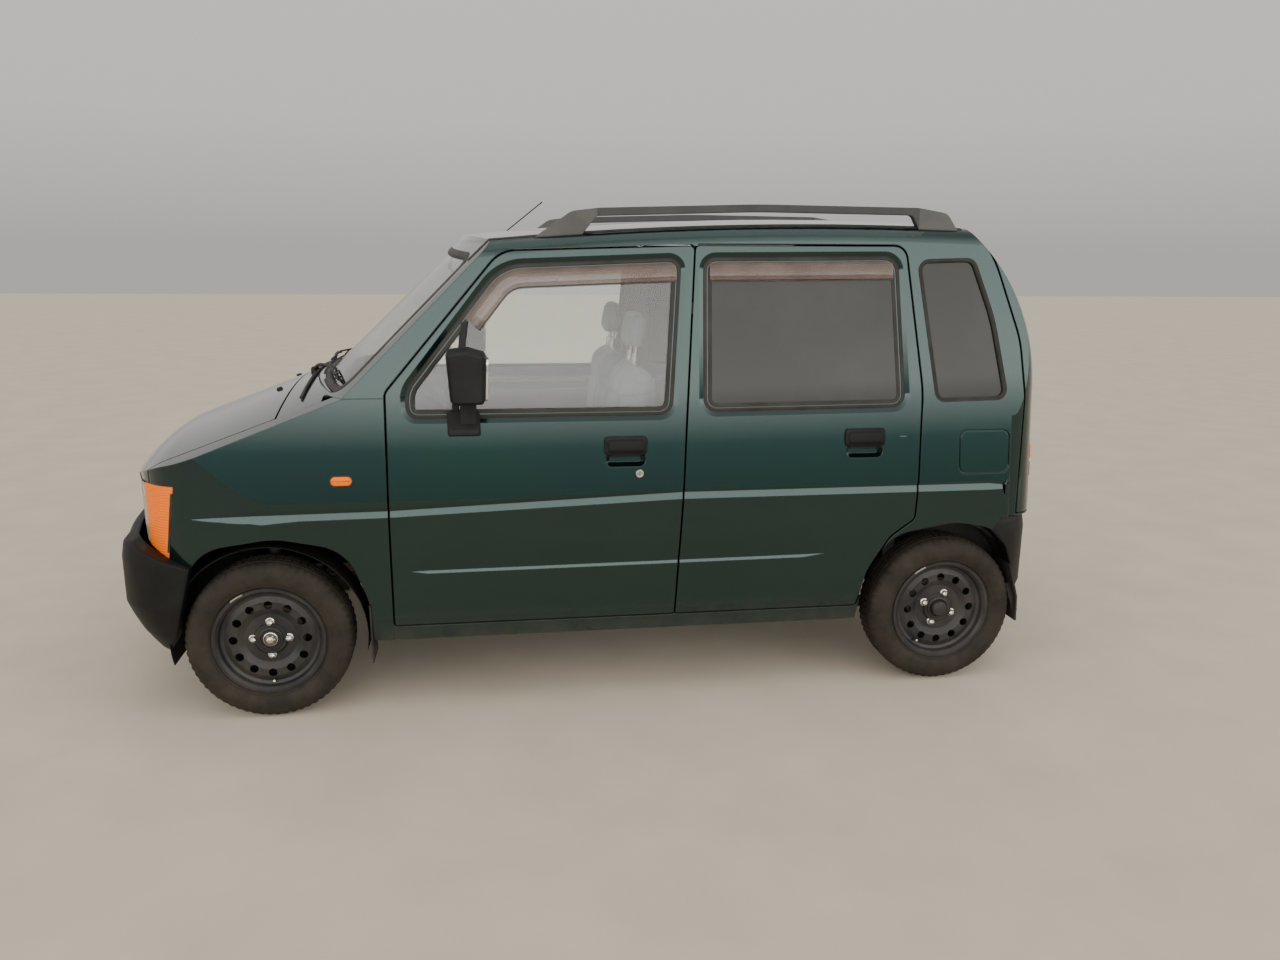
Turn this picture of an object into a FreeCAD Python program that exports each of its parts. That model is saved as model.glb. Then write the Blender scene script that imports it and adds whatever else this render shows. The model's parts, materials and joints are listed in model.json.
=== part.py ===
"""Kei car: a tall-box mini wagon, built as panels, glass, lamps, wheels and running gear.

Frame: X forward, Y to the car's left, Z up, origin on the ground under the middle of the car.
"""
import FreeCAD, Part
import Sketcher
import math
import os

V = FreeCAD.Vector
DOC = FreeCAD.newDocument("kei_car")

# Driving dimensions in millimetres and degrees: name, value, what it is.
SIZES = [
    ("car_length", 3295, "over both bumpers"),
    ("wheelbase", 2335, "between the axles"),
    ("front_overhang", 535, "front axle to the bumper"),
    ("track", 1220, "between the tyre centres"),
    ("half_width", 697.5, "car centre to the widest panel"),
    ("width_height", 735, "height of the widest point"),
    ("waist_height", 600, "height where the flank starts to turn under"),
    ("waist_tuck", 2, "how far the flank is in at the waist"),
    ("sill_top_height", 330, "height of the sill's outer edge"),
    ("sill_top_tuck", 13.5, "how far the sill edge is in"),
    ("sill_height", 250, "underside of the sill"),
    ("sill_tuck", 29.5, "how far the sill's underside is in"),
    ("side_lean", 7.04, "lean of the upper side, degrees"),
    ("roof_height", 1648, "roof centre at its highest point"),
    ("roof_apex_back", 1950, "front axle back to the roof's highest point"),
    ("roof_arc", 12200, "roof radius seen from the side"),
    ("roof_crown", 5450, "roof radius seen from the front"),
    ("roof_edge_radius", 62, "rounding between roof and side"),
    ("screen_slope", 43.7, "windscreen slope from level, degrees"),
    ("screen_base_back", 162.5, "front axle back to the windscreen base"),
    ("screen_base_height", 1105, "windscreen base at the centre"),
    ("screen_curve", 1500, "windscreen radius seen from above"),
    ("tail_back", 378.5, "rear axle back to the tail at belt height"),
    ("tail_turn_height", 1081, "height where the tail starts to curve in"),
    ("tail_arc", 770, "tail radius seen from the side"),
    ("tail_lean", 3.4, "lean of the lower tail, degrees"),
    ("tail_curve", 3000, "tail radius seen from above"),
    ("tail_corner", 105, "size of the tail's corner seen from above"),
    ("bonnet_slope", 20.5, "bonnet slope from level, degrees"),
    ("bonnet_turn_ahead", 307.5, "front axle to where the bonnet curves down"),
    ("bonnet_turn_height", 928, "bonnet height there"),
    ("nose_radius", 320, "nose radius seen from the side"),
    ("bonnet_crown", 2780, "bonnet radius seen from the front"),
    ("nose_ahead", 487.5, "front axle to the nose panel"),
    ("panel_wall", 30, "roof, wing and bonnet thickness"),
    ("door_wall", 45, "door and tailgate thickness"),
    ("rebate_depth", 45.3, "skin to the rebate behind a door"),
    ("body_wall", 75, "skin to the inside of the body side"),
    ("glass_depth", 8, "skin to the outer face of a pane"),
    ("glass_wall", 5, "pane thickness"),
    ("glass_fit", 0.4, "clearance round a pane"),
    ("seat_fit", 0.3, "clearance between pieces that rest on each other"),
    ("shut_gap", 6.5, "gap round a door or lid"),
    ("rebate_lap", 42, "how far the rebate laps behind a door"),
    ("belt_height", 1062, "top of the front wing"),
    ("ditch_y", 556, "centre to the roof's drip line"),
    ("bonnet_half", 603, "centre to the bonnet's side edge"),
    ("grille_half", 418, "centre to the grille's side edge"),
    ("tyre_radius", 268, "tyre outer radius"),
    ("tyre_width", 155, "tyre section width"),
    ("tyre_shoulder", 24, "tyre tread edge set-in"),
    ("bead_radius", 168, "tyre bead and rim seat radius"),
    ("rim_lip_radius", 181, "rim flange outer radius"),
    ("rim_half", 62, "half of the rim width"),
    ("disc_inset", 12, "wheel disc inboard of the rim's outer edge"),
    ("hub_radius", 30, "hub boss radius"),
    ("disc_hole_radius", 14, "holes in the wheel disc"),
    ("disc_hole_circle", 118, "radius of the ring of holes"),
    ("disc_hole_count", 12, "holes in the wheel disc"),
    ("door_bottom", 306, "underside of the doors"),
    ("floor_under", 225, "underside of the floor pan"),
    ("floor_wall", 25, "floor thickness"),
    ("rail_top", 1682, "top of the roof rails"),
    ("spindle_radius", 20, "wheel spindle radius"),
    ("ball_y", 560, "centre to the lower ball joint"),
    ("ball_height", 168, "height of the lower ball joint"),
    ("tower_y", 430, "centre to the strut's top mount"),
    ("tower_height", 780, "height of the strut's top mount"),
    ("engine_length", 300, "engine block, front to back"),
    ("engine_width", 560, "engine block, across"),
    ("engine_height", 480, "engine block height"),
    ("tank_length", 420, "fuel tank, front to back"),
    ("tank_width", 620, "fuel tank, across"),
    ("tank_height", 60, "fuel tank height below the floor"),
    ("seat_y", 310, "centre to a front seat's middle"),
    ("steer_wheel_radius", 180, "steering wheel radius"),
    ("steer_wheel_x", 455, "steering wheel centre"),
    ("steer_wheel_height", 965, "steering wheel centre height"),
    ("column_tilt", 62, "steering column from upright, degrees"),
    ("flap_wall", 4, "fuel flap thickness"),
    ("bumper_wall", 45, "bumper thickness"),
    ("plate_hole_radius", 3.2, "number plate screw holes"),
    ("plate_hole_spacing", 210, "between the plate's screw holes"),
]

sheet = DOC.addObject("Spreadsheet::Sheet", "Sizes")
for row, (alias, value, note) in enumerate(SIZES, start=1):
    sheet.set(f"A{row}", alias)
    sheet.set(f"B{row}", str(value))
    sheet.setAlias(f"B{row}", alias)
    sheet.set(f"C{row}", note)
DOC.recompute()


def size(alias):
    """A driving dimension, read from the sheet."""
    return float(sheet.get(alias))


FRONT_END = size("car_length") / 2
FRONT_AXLE = FRONT_END - size("front_overhang")
REAR_AXLE = FRONT_AXLE - size("wheelbase")
WHEEL_Y = size("track") / 2
GAP = size("shut_gap")
FIT = size("seat_fit")
WIDE = 900
FAR = 4000
FRONT_FAR = FRONT_END + 52.5
REAR_FAR = -FRONT_END - 52.5
SIDES = (("left", 1), ("right", -1))


# Outlines

def back(distance):
    """X of a point so far behind the front axle."""
    return FRONT_AXLE - distance


def grow(corners, margin):
    """Corners (u, v, radius) moved out by a margin, square to each edge."""
    area = sum(a[0] * b[1] - b[0] * a[1] for a, b in zip(corners, corners[1:] + corners[:1]))
    turn = 1 if area > 0 else -1
    grown = []
    for i, (u, v, radius) in enumerate(corners):
        before = corners[i - 1]
        after = corners[(i + 1) % len(corners)]
        d1 = V(u - before[0], v - before[1], 0).normalize()
        d2 = V(after[0] - u, after[1] - v, 0).normalize()
        n1 = V(d1.y, -d1.x, 0) * turn
        n2 = V(d2.y, -d2.x, 0) * turn
        step = (n1 + n2) * (margin / (1 + n1.dot(n2)))
        convex = (d1.x * d2.y - d1.y * d2.x) * turn > 0
        new_radius = radius + margin if convex else radius - margin
        grown.append((u + step.x, v + step.y, max(new_radius, 1) if radius else 0))
    return grown


def outline_face(plane, corners, offset=0.0):
    """Flat face with rounded corners. Planes: xz, yz or xy, at an offset along the third axis."""
    place = {"xz": lambda u, v: V(u, offset, v),
             "yz": lambda u, v: V(offset, u, v),
             "xy": lambda u, v: V(u, v, offset)}[plane]
    starts, ends, middles = [], [], []
    for i, (u, v, radius) in enumerate(corners):
        point = V(u, v, 0)
        before = corners[i - 1]
        after = corners[(i + 1) % len(corners)]
        d1 = (V(before[0], before[1], 0) - point).normalize()
        d2 = (V(after[0], after[1], 0) - point).normalize()
        half = d1.getAngle(d2) / 2
        if radius <= 0 or abs(half - math.pi / 2) < 1e-6:
            starts.append(point)
            ends.append(point)
            middles.append(None)
            continue
        reach = radius / math.tan(half)
        bisector = (d1 + d2).normalize()
        starts.append(point + d1 * reach)
        ends.append(point + d2 * reach)
        middles.append(point + bisector * (radius / math.sin(half) - radius))
    edges = []
    for i, middle in enumerate(middles):
        if middle is not None:
            trio = [place(p.x, p.y) for p in (starts[i], middle, ends[i])]
            edges.append(Part.Arc(*trio).toShape())
        a, b = ends[i], starts[(i + 1) % len(corners)]
        if (a - b).Length > 1e-4:
            edges.append(Part.makeLine(place(a.x, a.y), place(b.x, b.y)))
    return Part.Face(Part.Wire(edges))


def side_block(corners, y_from, y_to):
    """Outline in side view, as a block from one Y to another."""
    return outline_face("xz", corners, y_from).extrude(V(0, y_to - y_from, 0))


def front_block(corners, x_from, x_to):
    """Outline in front view, as a block from one X to another."""
    return outline_face("yz", corners, x_from).extrude(V(x_to - x_from, 0, 0))


def plan_block(corners, z_from, z_to):
    """Outline from above, as a block from one Z to another."""
    return outline_face("xy", corners, z_from).extrude(V(0, 0, z_to - z_from))


def box(x0, x1, y0, y1, z0, z1):
    """Box between two corners."""
    return Part.makeBox(x1 - x0, y1 - y0, z1 - z0, V(x0, y0, z0))


def mirrored(shape):
    """The same shape on the other side of the car."""
    return shape.mirror(V(0, 0, 0), V(0, 1, 0))


def on_side(shape, sign):
    """A left-hand shape, mirrored for the right."""
    return shape if sign > 0 else mirrored(shape)


def bar(points, radius):
    """Round bar along straight runs, with balls at its bends."""
    runs = []
    for start, end in zip(points, points[1:]):
        run = end - start
        runs.append(Part.makeCylinder(radius, run.Length, start, run))
    balls = [Part.makeSphere(radius, p) for p in points[1:-1]]
    return runs[0].fuse(runs[1:] + balls) if len(runs) > 1 else runs[0]


# The body's outer form, and the same form moved in by a wall

def flank_block(inset):
    """Section through the sides, run from nose to tail."""
    half = size("half_width") - inset
    top = 1750
    rise = top - size("width_height")
    right = [(half - size("sill_tuck"), size("sill_height")),
             (half - size("sill_top_tuck"), size("sill_top_height")),
             (half - size("waist_tuck"), size("waist_height")),
             (half, size("width_height")),
             (half - rise * math.tan(math.radians(size("side_lean"))), top)]
    corners = [(y, z, 0) for y, z in right] + [(-y, z, 0) for y, z in reversed(right)]
    return front_block(corners, REAR_FAR - 50, FRONT_FAR + 50)


def roof_block(inset):
    """Everything under the doubly curved roof."""
    x = back(size("roof_apex_back"))
    z = size("roof_height") - inset
    low = z - WIDE ** 2 / (2 * size("roof_crown"))
    arc = Part.Arc(V(x, -WIDE, low), V(x, 0, z), V(x, WIDE, low)).toShape()
    rest = Part.makePolygon([V(x, WIDE, low), V(x, WIDE, 0), V(x, -WIDE, 0), V(x, -WIDE, low)])
    face = Part.Face(Part.Wire([arc] + rest.Edges))
    pivot = V(x, 0, size("roof_height") - size("roof_arc"))
    ahead = face.revolve(pivot, V(0, 1, 0), 13)
    behind = face.revolve(pivot, V(0, 1, 0), -6)
    return ahead.fuse(behind).removeSplitter()


def tail_cutter(inset):
    """Everything behind the tail's curved face."""
    lean = math.radians(size("tail_lean"))
    x = REAR_AXLE - size("tail_back") + inset
    z = size("tail_turn_height")
    radius = size("tail_arc") - inset
    corner = size("tail_corner")
    y_turn = size("half_width") - 30 - inset - corner
    bulge = y_turn ** 2 / (2 * size("tail_curve"))
    side_y = y_turn + corner
    edges = [Part.Arc(V(x + bulge, -y_turn, z), V(x, 0, z), V(x + bulge, y_turn, z)).toShape()]
    for sign in (1, -1):
        start = V(x + bulge, sign * y_turn, z)
        middle = V(x + bulge + corner * 0.36, sign * (y_turn + corner * 0.72), z)
        end = V(x + bulge + corner * 1.15, sign * side_y, z)
        outer = V(x + bulge + corner * 2.6, sign * WIDE, z)
        edges += [Part.Arc(start, middle, end).toShape(), Part.makeLine(end, outer)]
        edges.append(Part.makeLine(outer, V(x - 700, sign * WIDE, z)))
    edges.append(Part.makeLine(V(x - 700, -WIDE, z), V(x - 700, WIDE, z)))
    face = Part.Face(Part.Wire(Part.__sortEdges__(edges)))
    pivot = V(x + radius * math.cos(lean), 0, z - radius * math.sin(lean))
    upper = face.revolve(pivot, V(0, 1, 0), 75)
    lower = face.extrude(V(-900 * math.tan(lean), 0, -900))
    return upper.fuse(lower)


def screen_block(inset):
    """Everything behind the windscreen's curved face."""
    slope = math.radians(size("screen_slope"))
    x = back(size("screen_base_back")) - inset / math.sin(slope)
    z = size("screen_base_height")
    bulge = size("screen_curve") - math.sqrt(size("screen_curve") ** 2 - WIDE ** 2)
    arc = Part.Arc(V(x - bulge, -WIDE, z), V(x, 0, z), V(x - bulge, WIDE, z)).toShape()
    rest = Part.makePolygon([V(x - bulge, WIDE, z), V(x - FAR, WIDE, z), V(x - FAR, -WIDE, z),
                             V(x - bulge, -WIDE, z)])
    face = Part.Face(Part.Wire([arc] + rest.Edges))
    along = V(-math.cos(slope), 0, math.sin(slope))
    return face.extrude(along * 1000).fuse(face.extrude(along * -1300)).removeSplitter()


def nose_plan_block(inset):
    """Plan of the car with its rounded nose."""
    x = FRONT_AXLE + size("nose_ahead") - inset
    side = size("half_width") + 2 - inset
    half = [(x - 98, 520), (x - 155, side - 84), (x - 290, side - 22), (x - 620, side)]
    edges = [Part.Arc(V(x - 98, -520, 0), V(x, 0, 0), V(x - 98, 520, 0)).toShape()]
    for sign in (1, -1):
        p = [V(px, sign * py, 0) for px, py in half]
        middle = V(x - 460, sign * (side - 5), 0)
        edges += [Part.Arc(p[0], p[1], p[2]).toShape(), Part.Arc(p[2], middle, p[3]).toShape(),
                  Part.makeLine(p[3], V(REAR_FAR - 100, sign * side, 0))]
    edges.append(Part.makeLine(V(REAR_FAR - 100, -side, 0), V(REAR_FAR - 100, side, 0)))
    face = Part.Face(Part.Wire(Part.__sortEdges__(edges)))
    return face.extrude(V(0, 0, 1800))


def bonnet_cutter(inset):
    """Everything above the crowned bonnet and the rounded nose."""
    slope = math.radians(size("bonnet_slope"))
    up = V(math.sin(slope), 0, math.cos(slope))
    turn = V(FRONT_AXLE + size("bonnet_turn_ahead"), 0, size("bonnet_turn_height")) - up * inset
    drop = WIDE ** 2 / (2 * size("bonnet_crown"))
    left = turn + V(0, WIDE, 0) - up * drop
    right = turn - V(0, WIDE, 0) - up * drop
    arc = Part.Arc(right, turn, left).toShape()
    rest = Part.makePolygon([left, left + up * 600, right + up * 600, right])
    face = Part.Face(Part.Wire([arc] + rest.Edges))
    pivot = turn - up * (size("nose_radius") - inset)
    nose = face.revolve(pivot, V(0, 1, 0), 72)
    top = face.extrude(V(-math.cos(slope), 0, math.sin(slope)) * 1100)
    return top.fuse(nose)


def envelope(inset):
    """The closed body form, moved in by an inset on every face."""
    body = flank_block(inset).common(roof_block(inset)).removeSplitter()
    edges = [e for e in body.Edges if e.BoundBox.ZMin > 1400 and e.BoundBox.XLength > 400
             and e.BoundBox.YLength < 90]
    body = body.makeFillet(max(size("roof_edge_radius") - inset, 6), edges)
    body = body.cut(tail_cutter(inset)).common(nose_plan_block(inset))
    cabin = body.common(screen_block(inset))
    nose = body.common(box(back(512.5), FRONT_FAR + 100, -WIDE, WIDE, 0, 1300)).cut(bonnet_cutter(inset))
    return cabin.fuse(nose).removeSplitter()


INSETS = {"skin": 0,
          "pane_out": size("glass_depth"),
          "pane_in": size("glass_depth") + size("glass_wall"),
          "panel": size("panel_wall"),
          "door": size("door_wall"),
          "rebate": size("rebate_depth"),
          "inside": size("body_wall"),
          "lining": size("body_wall") + FIT}
FORM = {name: envelope(inset) for name, inset in INSETS.items()}


def layer(outer, inner, region):
    """The part of a region that lies between two of the body's forms."""
    return region.common(FORM[outer]).cut(FORM[inner])


# Outlines of the openings in side view: distance behind the front axle, height, corner radius
def from_axle(rows):
    return [(back(b), z, r) for b, z, r in rows]


B_TOP, B_LOW = 1410, 1346
FRONT_DOOR = from_axle([(406, size("door_bottom"), 8), (406, 1078, 40), (780, 1522, 110),
                        (B_TOP, 1545, 14), (B_LOW, size("door_bottom"), 8)])
REAR_DOOR = from_axle([(B_LOW + GAP, size("door_bottom"), 8), (B_TOP + GAP, 1546, 14),
                       (2140, 1550, 45), (2211, 1060, 500), (2197, 622, 22), (2113, 560, 60),
                       (2040, 440, 150), (2003, size("door_bottom"), 8)])
FRONT_WINDOW = from_axle([(486, 1014, 20), (484, 1080, 80), (786, 1464, 140), (1349, 1489, 22),
                          (1318, 1014, 30)])
REAR_WINDOW = from_axle([(1459, 1022, 28), (1459, 1491, 25), (2100, 1500, 35), (2134, 1028, 28)])
QUARTER_WINDOW = from_axle([(2272, 1036, 28), (2194, 1499, 28), (2385, 1506, 32),
                            (2462, 1310, 700), (2521, 1041, 28)])
FUEL_FLAP = from_axle([(2357, 782, 24), (2357, 925, 24), (2535, 925, 24), (2535, 782, 24)])
TAILGATE_SIDE = from_axle([(2395, 1700, 0), (2400, 1612, 0), (2472, 1507, 400), (2572, 1238, 400),
                           (2597, 1040, 400), (2600, 624, 0), (3000, 624, 0), (3000, 1700, 0)])
FRONT_ARCH = [(FRONT_AXLE + 293, 150, 0), (FRONT_AXLE + 276, 430, 90), (FRONT_AXLE + 190, 585, 150),
              (FRONT_AXLE - 40, 622, 260), (FRONT_AXLE - 262, 575, 150), (FRONT_AXLE - 331, 380, 90),
              (FRONT_AXLE - 333, 150, 0)]
REAR_ARCH = [(REAR_AXLE + 336, 150, 0), (REAR_AXLE + 305, 440, 90), (REAR_AXLE + 200, 565, 150),
             (REAR_AXLE - 20, 603, 260), (REAR_AXLE - 195, 570, 150), (REAR_AXLE - 258, 430, 90),
             (REAR_AXLE - 262, 150, 0)]
LAMP_SIDE = [(FRONT_AXLE + 255.5, 792, 0), (FRONT_AXLE + 295.5, 532, 0), (FRONT_FAR, 532, 0),
             (FRONT_FAR, 792, 0)]
FRONT_BUMPER = [(FRONT_AXLE + 222.5, 528, 0), (FRONT_AXLE + 287.5, 553, 60), (FRONT_AXLE + 407.5, 606, 30),
                (FRONT_FAR, 608, 0), (FRONT_FAR, 300, 0), (FRONT_AXLE + 417.5, 236, 30),
                (FRONT_AXLE + 315.5, 240, 10), (FRONT_AXLE + 285.5, 290, 20)]
REAR_BUMPER = [(REAR_AXLE - 159.5, 567, 0), (REAR_AXLE - 185.5, 612, 10), (REAR_FAR, 614, 0),
               (REAR_FAR, 300, 0), (REAR_AXLE - 337.5, 246, 20), (REAR_AXLE - 307.5, 250, 10),
               (REAR_AXLE - 289.5, 310, 40), (REAR_AXLE - 253.5, 433, 60), (REAR_AXLE - 223.5, 505, 60)]
# Bumper faces: height, set-in of the end, set-in of the sides
FRONT_BUMPER_FACE = [(230, 90, 16), (262, 66, 12), (300, 40, 8), (355, 14, 4), (395, 0, 0), (545, 0, 0),
                     (590, 8, 1), (612, 26, 5)]
REAR_BUMPER_FACE = [(240, 44, 14), (290, 18, 8), (350, 0, 0), (555, 0, 0), (590, 5, 3), (618, 18, 9)]
# Grooves along the side: back from the front axle, height of the inner edge, skin Y, depth
SWAGE = [(-205, 690, 675.5, -0.5), (-120, 694, 688, 5), (-28, 697, 694.5, 6), (120, 699, 697.2, 6),
         (404, 702, 697.3, 6), (1365, 739, 697.4, 6), (2470, 741, 697.4, 6), (2520, 736, 697, 4),
         (2562, 731, 666, -0.5)]
CREASE = [(455, 494, 691, -0.3), (520, 495, 691, 3), (1800, 503, 691.3, 3), (1890, 505, 691.3, -0.3)]
RECESS_DEPTH = 7
COWL_BACK = FRONT_AXLE - 200.5
COWL_FRONT = FRONT_AXLE - 59.5
BONNET_BACK = FRONT_AXLE - 52.5
SCREEN_X = (back(812.5), back(12.5))
SCREEN_OUTLINE = [(-600, 1066, 45), (0, 1098, 2500), (600, 1066, 45), (545, 1508, 60),
                  (0, 1530, 2500), (-545, 1508, 60)]
TAIL_LAMP = [(532, 648, 12), (628, 648, 12), (622, 880, 12), (532, 880, 12)]
TAIL_GLASS = [(-560, 1062, 60), (560, 1062, 60), (520, 1520, 60), (-520, 1520, 60)]

PIECES = {}


def keep(label, shape):
    """File a finished sub-part under its name."""
    feature = DOC.addObject("Part::Feature", label)
    feature.Label = label
    feature.Shape = shape
    PIECES[label] = feature
    return feature


def solids(*shapes):
    """Several loose solids of one sub-part."""
    found = [s for shape in shapes for s in shape.Solids]
    return found[0] if len(found) == 1 else Part.makeCompound(found)


# Doors, with their windows

def groove(rows, low_rise, high_rise):
    """Cutter along the left side; rises are height per unit of depth below and above the inner edge."""
    wires = []
    for distance, height, skin_y, depth in rows:
        x = back(distance)
        reach = depth + 8
        corners = [V(x, skin_y - depth, height), V(x, skin_y + 8, height + high_rise * reach),
                   V(x, skin_y + 8, height - low_rise * reach)]
        wires.append(Part.makePolygon(corners + corners[:1]))
    return Part.makeLoft(wires, True, True)


GROOVES = [groove(SWAGE, 4, 2), groove(CREASE, 4, 12)]


def on_lean(corners, offset):
    """Outline on a plane that leans with the left upper side, moved out by an offset."""
    low = size("width_height")
    lean = size("side_lean")
    rise = 1 / math.cos(math.radians(lean))
    face = outline_face("xz", [(x, low + (z - low) * rise, r) for x, z, r in corners],
                        size("half_width") + offset)
    face.rotate(V(0, size("half_width"), low), V(1, 0, 0), lean)
    return face


def dish(corners, taper, depth):
    """Cutter for a tapered recess in the left upper side."""
    outer = on_lean(grow(corners, taper * 4 / depth), 4).OuterWire
    inner = on_lean(grow(corners, -taper), -depth).OuterWire
    return Part.makeLoft([outer, inner], True, True)


def door_panel(door, window, cup):
    """One left door: the wall between skin and lining, with its window, recess and handle cup."""
    blank = layer("skin", "door", side_block(door, 450, 760))
    recess = dish(grow(window, 34), 18, RECESS_DEPTH)
    return blank.cut([side_block(window, 400, 780), recess, dish(cup, 14, 22)] + GROOVES)


def pane(window):
    """A left side pane, set in from the skin."""
    return layer("pane_out", "pane_in", side_block(grow(window, -size("glass_fit")), 450, 760))


def handle_rows(back_from, back_to, low, high, radius):
    """Rounded outline of a handle part in side view."""
    return from_axle([(back_from, low, radius), (back_from, high, radius), (back_to, high, radius),
                      (back_to, low, radius)])


def door_handle(rows):
    """Flap grip on a left door, softly rounded, standing off the skin over its cup."""
    foot = on_lean(rows, -10).OuterWire
    shoulder = on_lean(rows, 7).OuterWire
    crown = on_lean(grow(rows, -7), 14).OuterWire
    return Part.makeLoft([foot, shoulder, crown], True, True).cut(FORM["skin"])


def mirror_housing():
    """Left door mirror: a deep housing on a stalk and a base block."""
    rows = from_axle([(612, 1060, 18), (600, 1225, 18), (668, 1232, 22), (728, 1215, 22), (722, 1060, 18)])
    faces = [outline_face("xz", grow(rows, margin), y).OuterWire
             for y, margin in ((690, -9), (706, -1), (768, 0), (832, -5), (845, -13))]
    housing = Part.makeLoft(faces, True, True)
    stalk = box(back(690), back(640), 668, 715, 985, 1075)
    base = side_block(from_axle([(598, 940, 8), (596, 1020, 8), (700, 1022, 8), (704, 940, 8)]),
                      640, 680)
    return housing.fuse([stalk, base]).cut(FORM["skin"]).removeSplitter()


# Doors: place, outline, window, grip (from, to, bottom, top)
DOORS = (("front", FRONT_DOOR, FRONT_WINDOW, (1104, 1248, 869, 930)),
         ("rear", REAR_DOOR, REAR_WINDOW, (1935, 2077, 881, 942)))
for place, door, window, (grip_from, grip_to, grip_low, grip_top) in DOORS:
    cup = handle_rows(grip_from + 6, grip_to - 6, grip_low - 40, grip_low + 11, 20)
    panel = door_panel(door, window, cup)
    glass = pane(window)
    grip = door_handle(handle_rows(grip_from, grip_to, grip_low, grip_top, 14))
    for side, sign in SIDES:
        keep(f"{place}_{side}_door", on_side(panel, sign))
        keep(f"{place}_{side}_door_glass", on_side(glass, sign))
        if place == "front":
            fittings = solids(grip, mirror_housing())
            keep(f"front_{side}_mirror_and_handle", on_side(fittings, sign))
        else:
            keep(f"rear_{side}_door_handle", on_side(grip, sign))


# Body sides, roof, wings and bonnet

def body_side():
    """Left body side with rebated door openings, pillars, sill and rear quarter."""
    region = box(back(3000), COWL_BACK - FIT, size("ditch_y"), 760, size("sill_height"), 1700)
    region = region.cut(box(REAR_FAR - 100, REAR_AXLE - 160, 0, 780, 0, 504))
    whole = layer("skin", "inside", region)
    wing_zone = box(back(406) + GAP, back(12.5), 400, 760, 0, size("belt_height"))
    whole = whole.cut(wing_zone.cut(FORM["panel"]))
    whole = whole.cut(box(back(406) + 85, back(12.5), 400, 760, 0, size("belt_height")))
    for door in (FRONT_DOOR, REAR_DOOR):
        whole = whole.cut(side_block(grow(door, GAP), 400, 780).cut(FORM["rebate"]))
        whole = whole.cut(side_block(grow(door, -size("rebate_lap")), 400, 780))
    whole = whole.cut(side_block(grow(TAILGATE_SIDE, GAP), -WIDE, WIDE).cut(FORM["rebate"]))
    whole = whole.cut(side_block(grow(TAILGATE_SIDE, -size("rebate_lap")), -WIDE, WIDE))
    whole = whole.cut(side_block(QUARTER_WINDOW, 400, 780))
    whole = whole.cut(side_block(FRONT_ARCH, 400, 780))
    whole = whole.cut(side_block(REAR_ARCH, 400, 780))
    whole = whole.cut(front_block(SCREEN_OUTLINE, *SCREEN_X))
    return whole.cut([side_block(grow(REAR_BUMPER, FIT), 300, 780)] + GROOVES)


left_side = body_side()
flap_plate = side_block(FUEL_FLAP, 500, 760).common(FORM["skin"]).cut(
    FORM["skin"].translated(V(0, -size("flap_wall"), 0)))
flap_ledge = side_block(grow(FUEL_FLAP, 5), 500, 760).cut(
    FORM["skin"].translated(V(0, -size("flap_wall") - FIT, 0)))
filler_pocket = side_block(grow(FUEL_FLAP, -8), 500, 760).cut(
    FORM["skin"].translated(V(0, -30, 0)))
keep("body_side_left", left_side.cut(flap_ledge).cut(filler_pocket))
keep("body_side_right", mirrored(left_side))
keep("fuel_flap", flap_plate)

ROOF_HALF = size("ditch_y") - 0.3
roof_end = back(2395 - GAP)
roof_panel = layer("skin", "panel", box(roof_end, back(412.5), -ROOF_HALF, ROOF_HALF, 1490, 1700))
header = layer("skin", "inside", box(roof_end, roof_end + 45, -ROOF_HALF, ROOF_HALF, 1450, 1700))
lip = layer("rebate", "inside", box(roof_end - 45, roof_end + 5, -ROOF_HALF, ROOF_HALF, 1450, 1700))
roof_panel = roof_panel.cut(front_block(SCREEN_OUTLINE, *SCREEN_X)).fuse([header, lip])
keep("roof_panel", roof_panel.removeSplitter())

wing_zone = box(back(406) + GAP, FRONT_AXLE + 407.5, size("bonnet_half") + GAP, 760, size("sill_height"),
                size("belt_height"))
wing = layer("skin", "panel", wing_zone).cut(side_block(FRONT_ARCH, 400, 780))
wing = wing.cut(side_block(grow(LAMP_SIDE, FIT), 300, 780))
wing = wing.cut(side_block(grow(FRONT_BUMPER, FIT), 300, 780))
wing = wing.cut([box(FRONT_AXLE + 216, FRONT_FAR, 0, 780, 0, 527)] + GROOVES)
flange_low = FORM["panel"].translated(V(0, 0, -12 - FIT))
flange = box(BONNET_BACK, FRONT_AXLE + 327.5, 588, 640, 800, 1120).common(FORM["panel"].translated(V(0, 0, -FIT)))
flange = flange.fuse(box(BONNET_BACK, FRONT_AXLE + 327.5, 612, 640, 800, 1120).common(FORM["skin"])).cut(flange_low)
wing = wing.fuse(flange).removeSplitter()
bonnet_zone = box(BONNET_BACK, FRONT_FAR, -size("bonnet_half"), size("bonnet_half"), 797, 1200)
keep("bonnet", layer("skin", "panel", bonnet_zone))
for side, sign in SIDES:
    keep(f"{side}_wing", on_side(wing, sign))

# Glass of the body, tailgate

ws_fit = grow(SCREEN_OUTLINE, -size("glass_fit"))
keep("windscreen", layer("pane_out", "pane_in", front_block(ws_fit, *SCREEN_X)))
quarter = pane(QUARTER_WINDOW)
keep("quarter_glass", solids(quarter, mirrored(quarter)))

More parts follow.
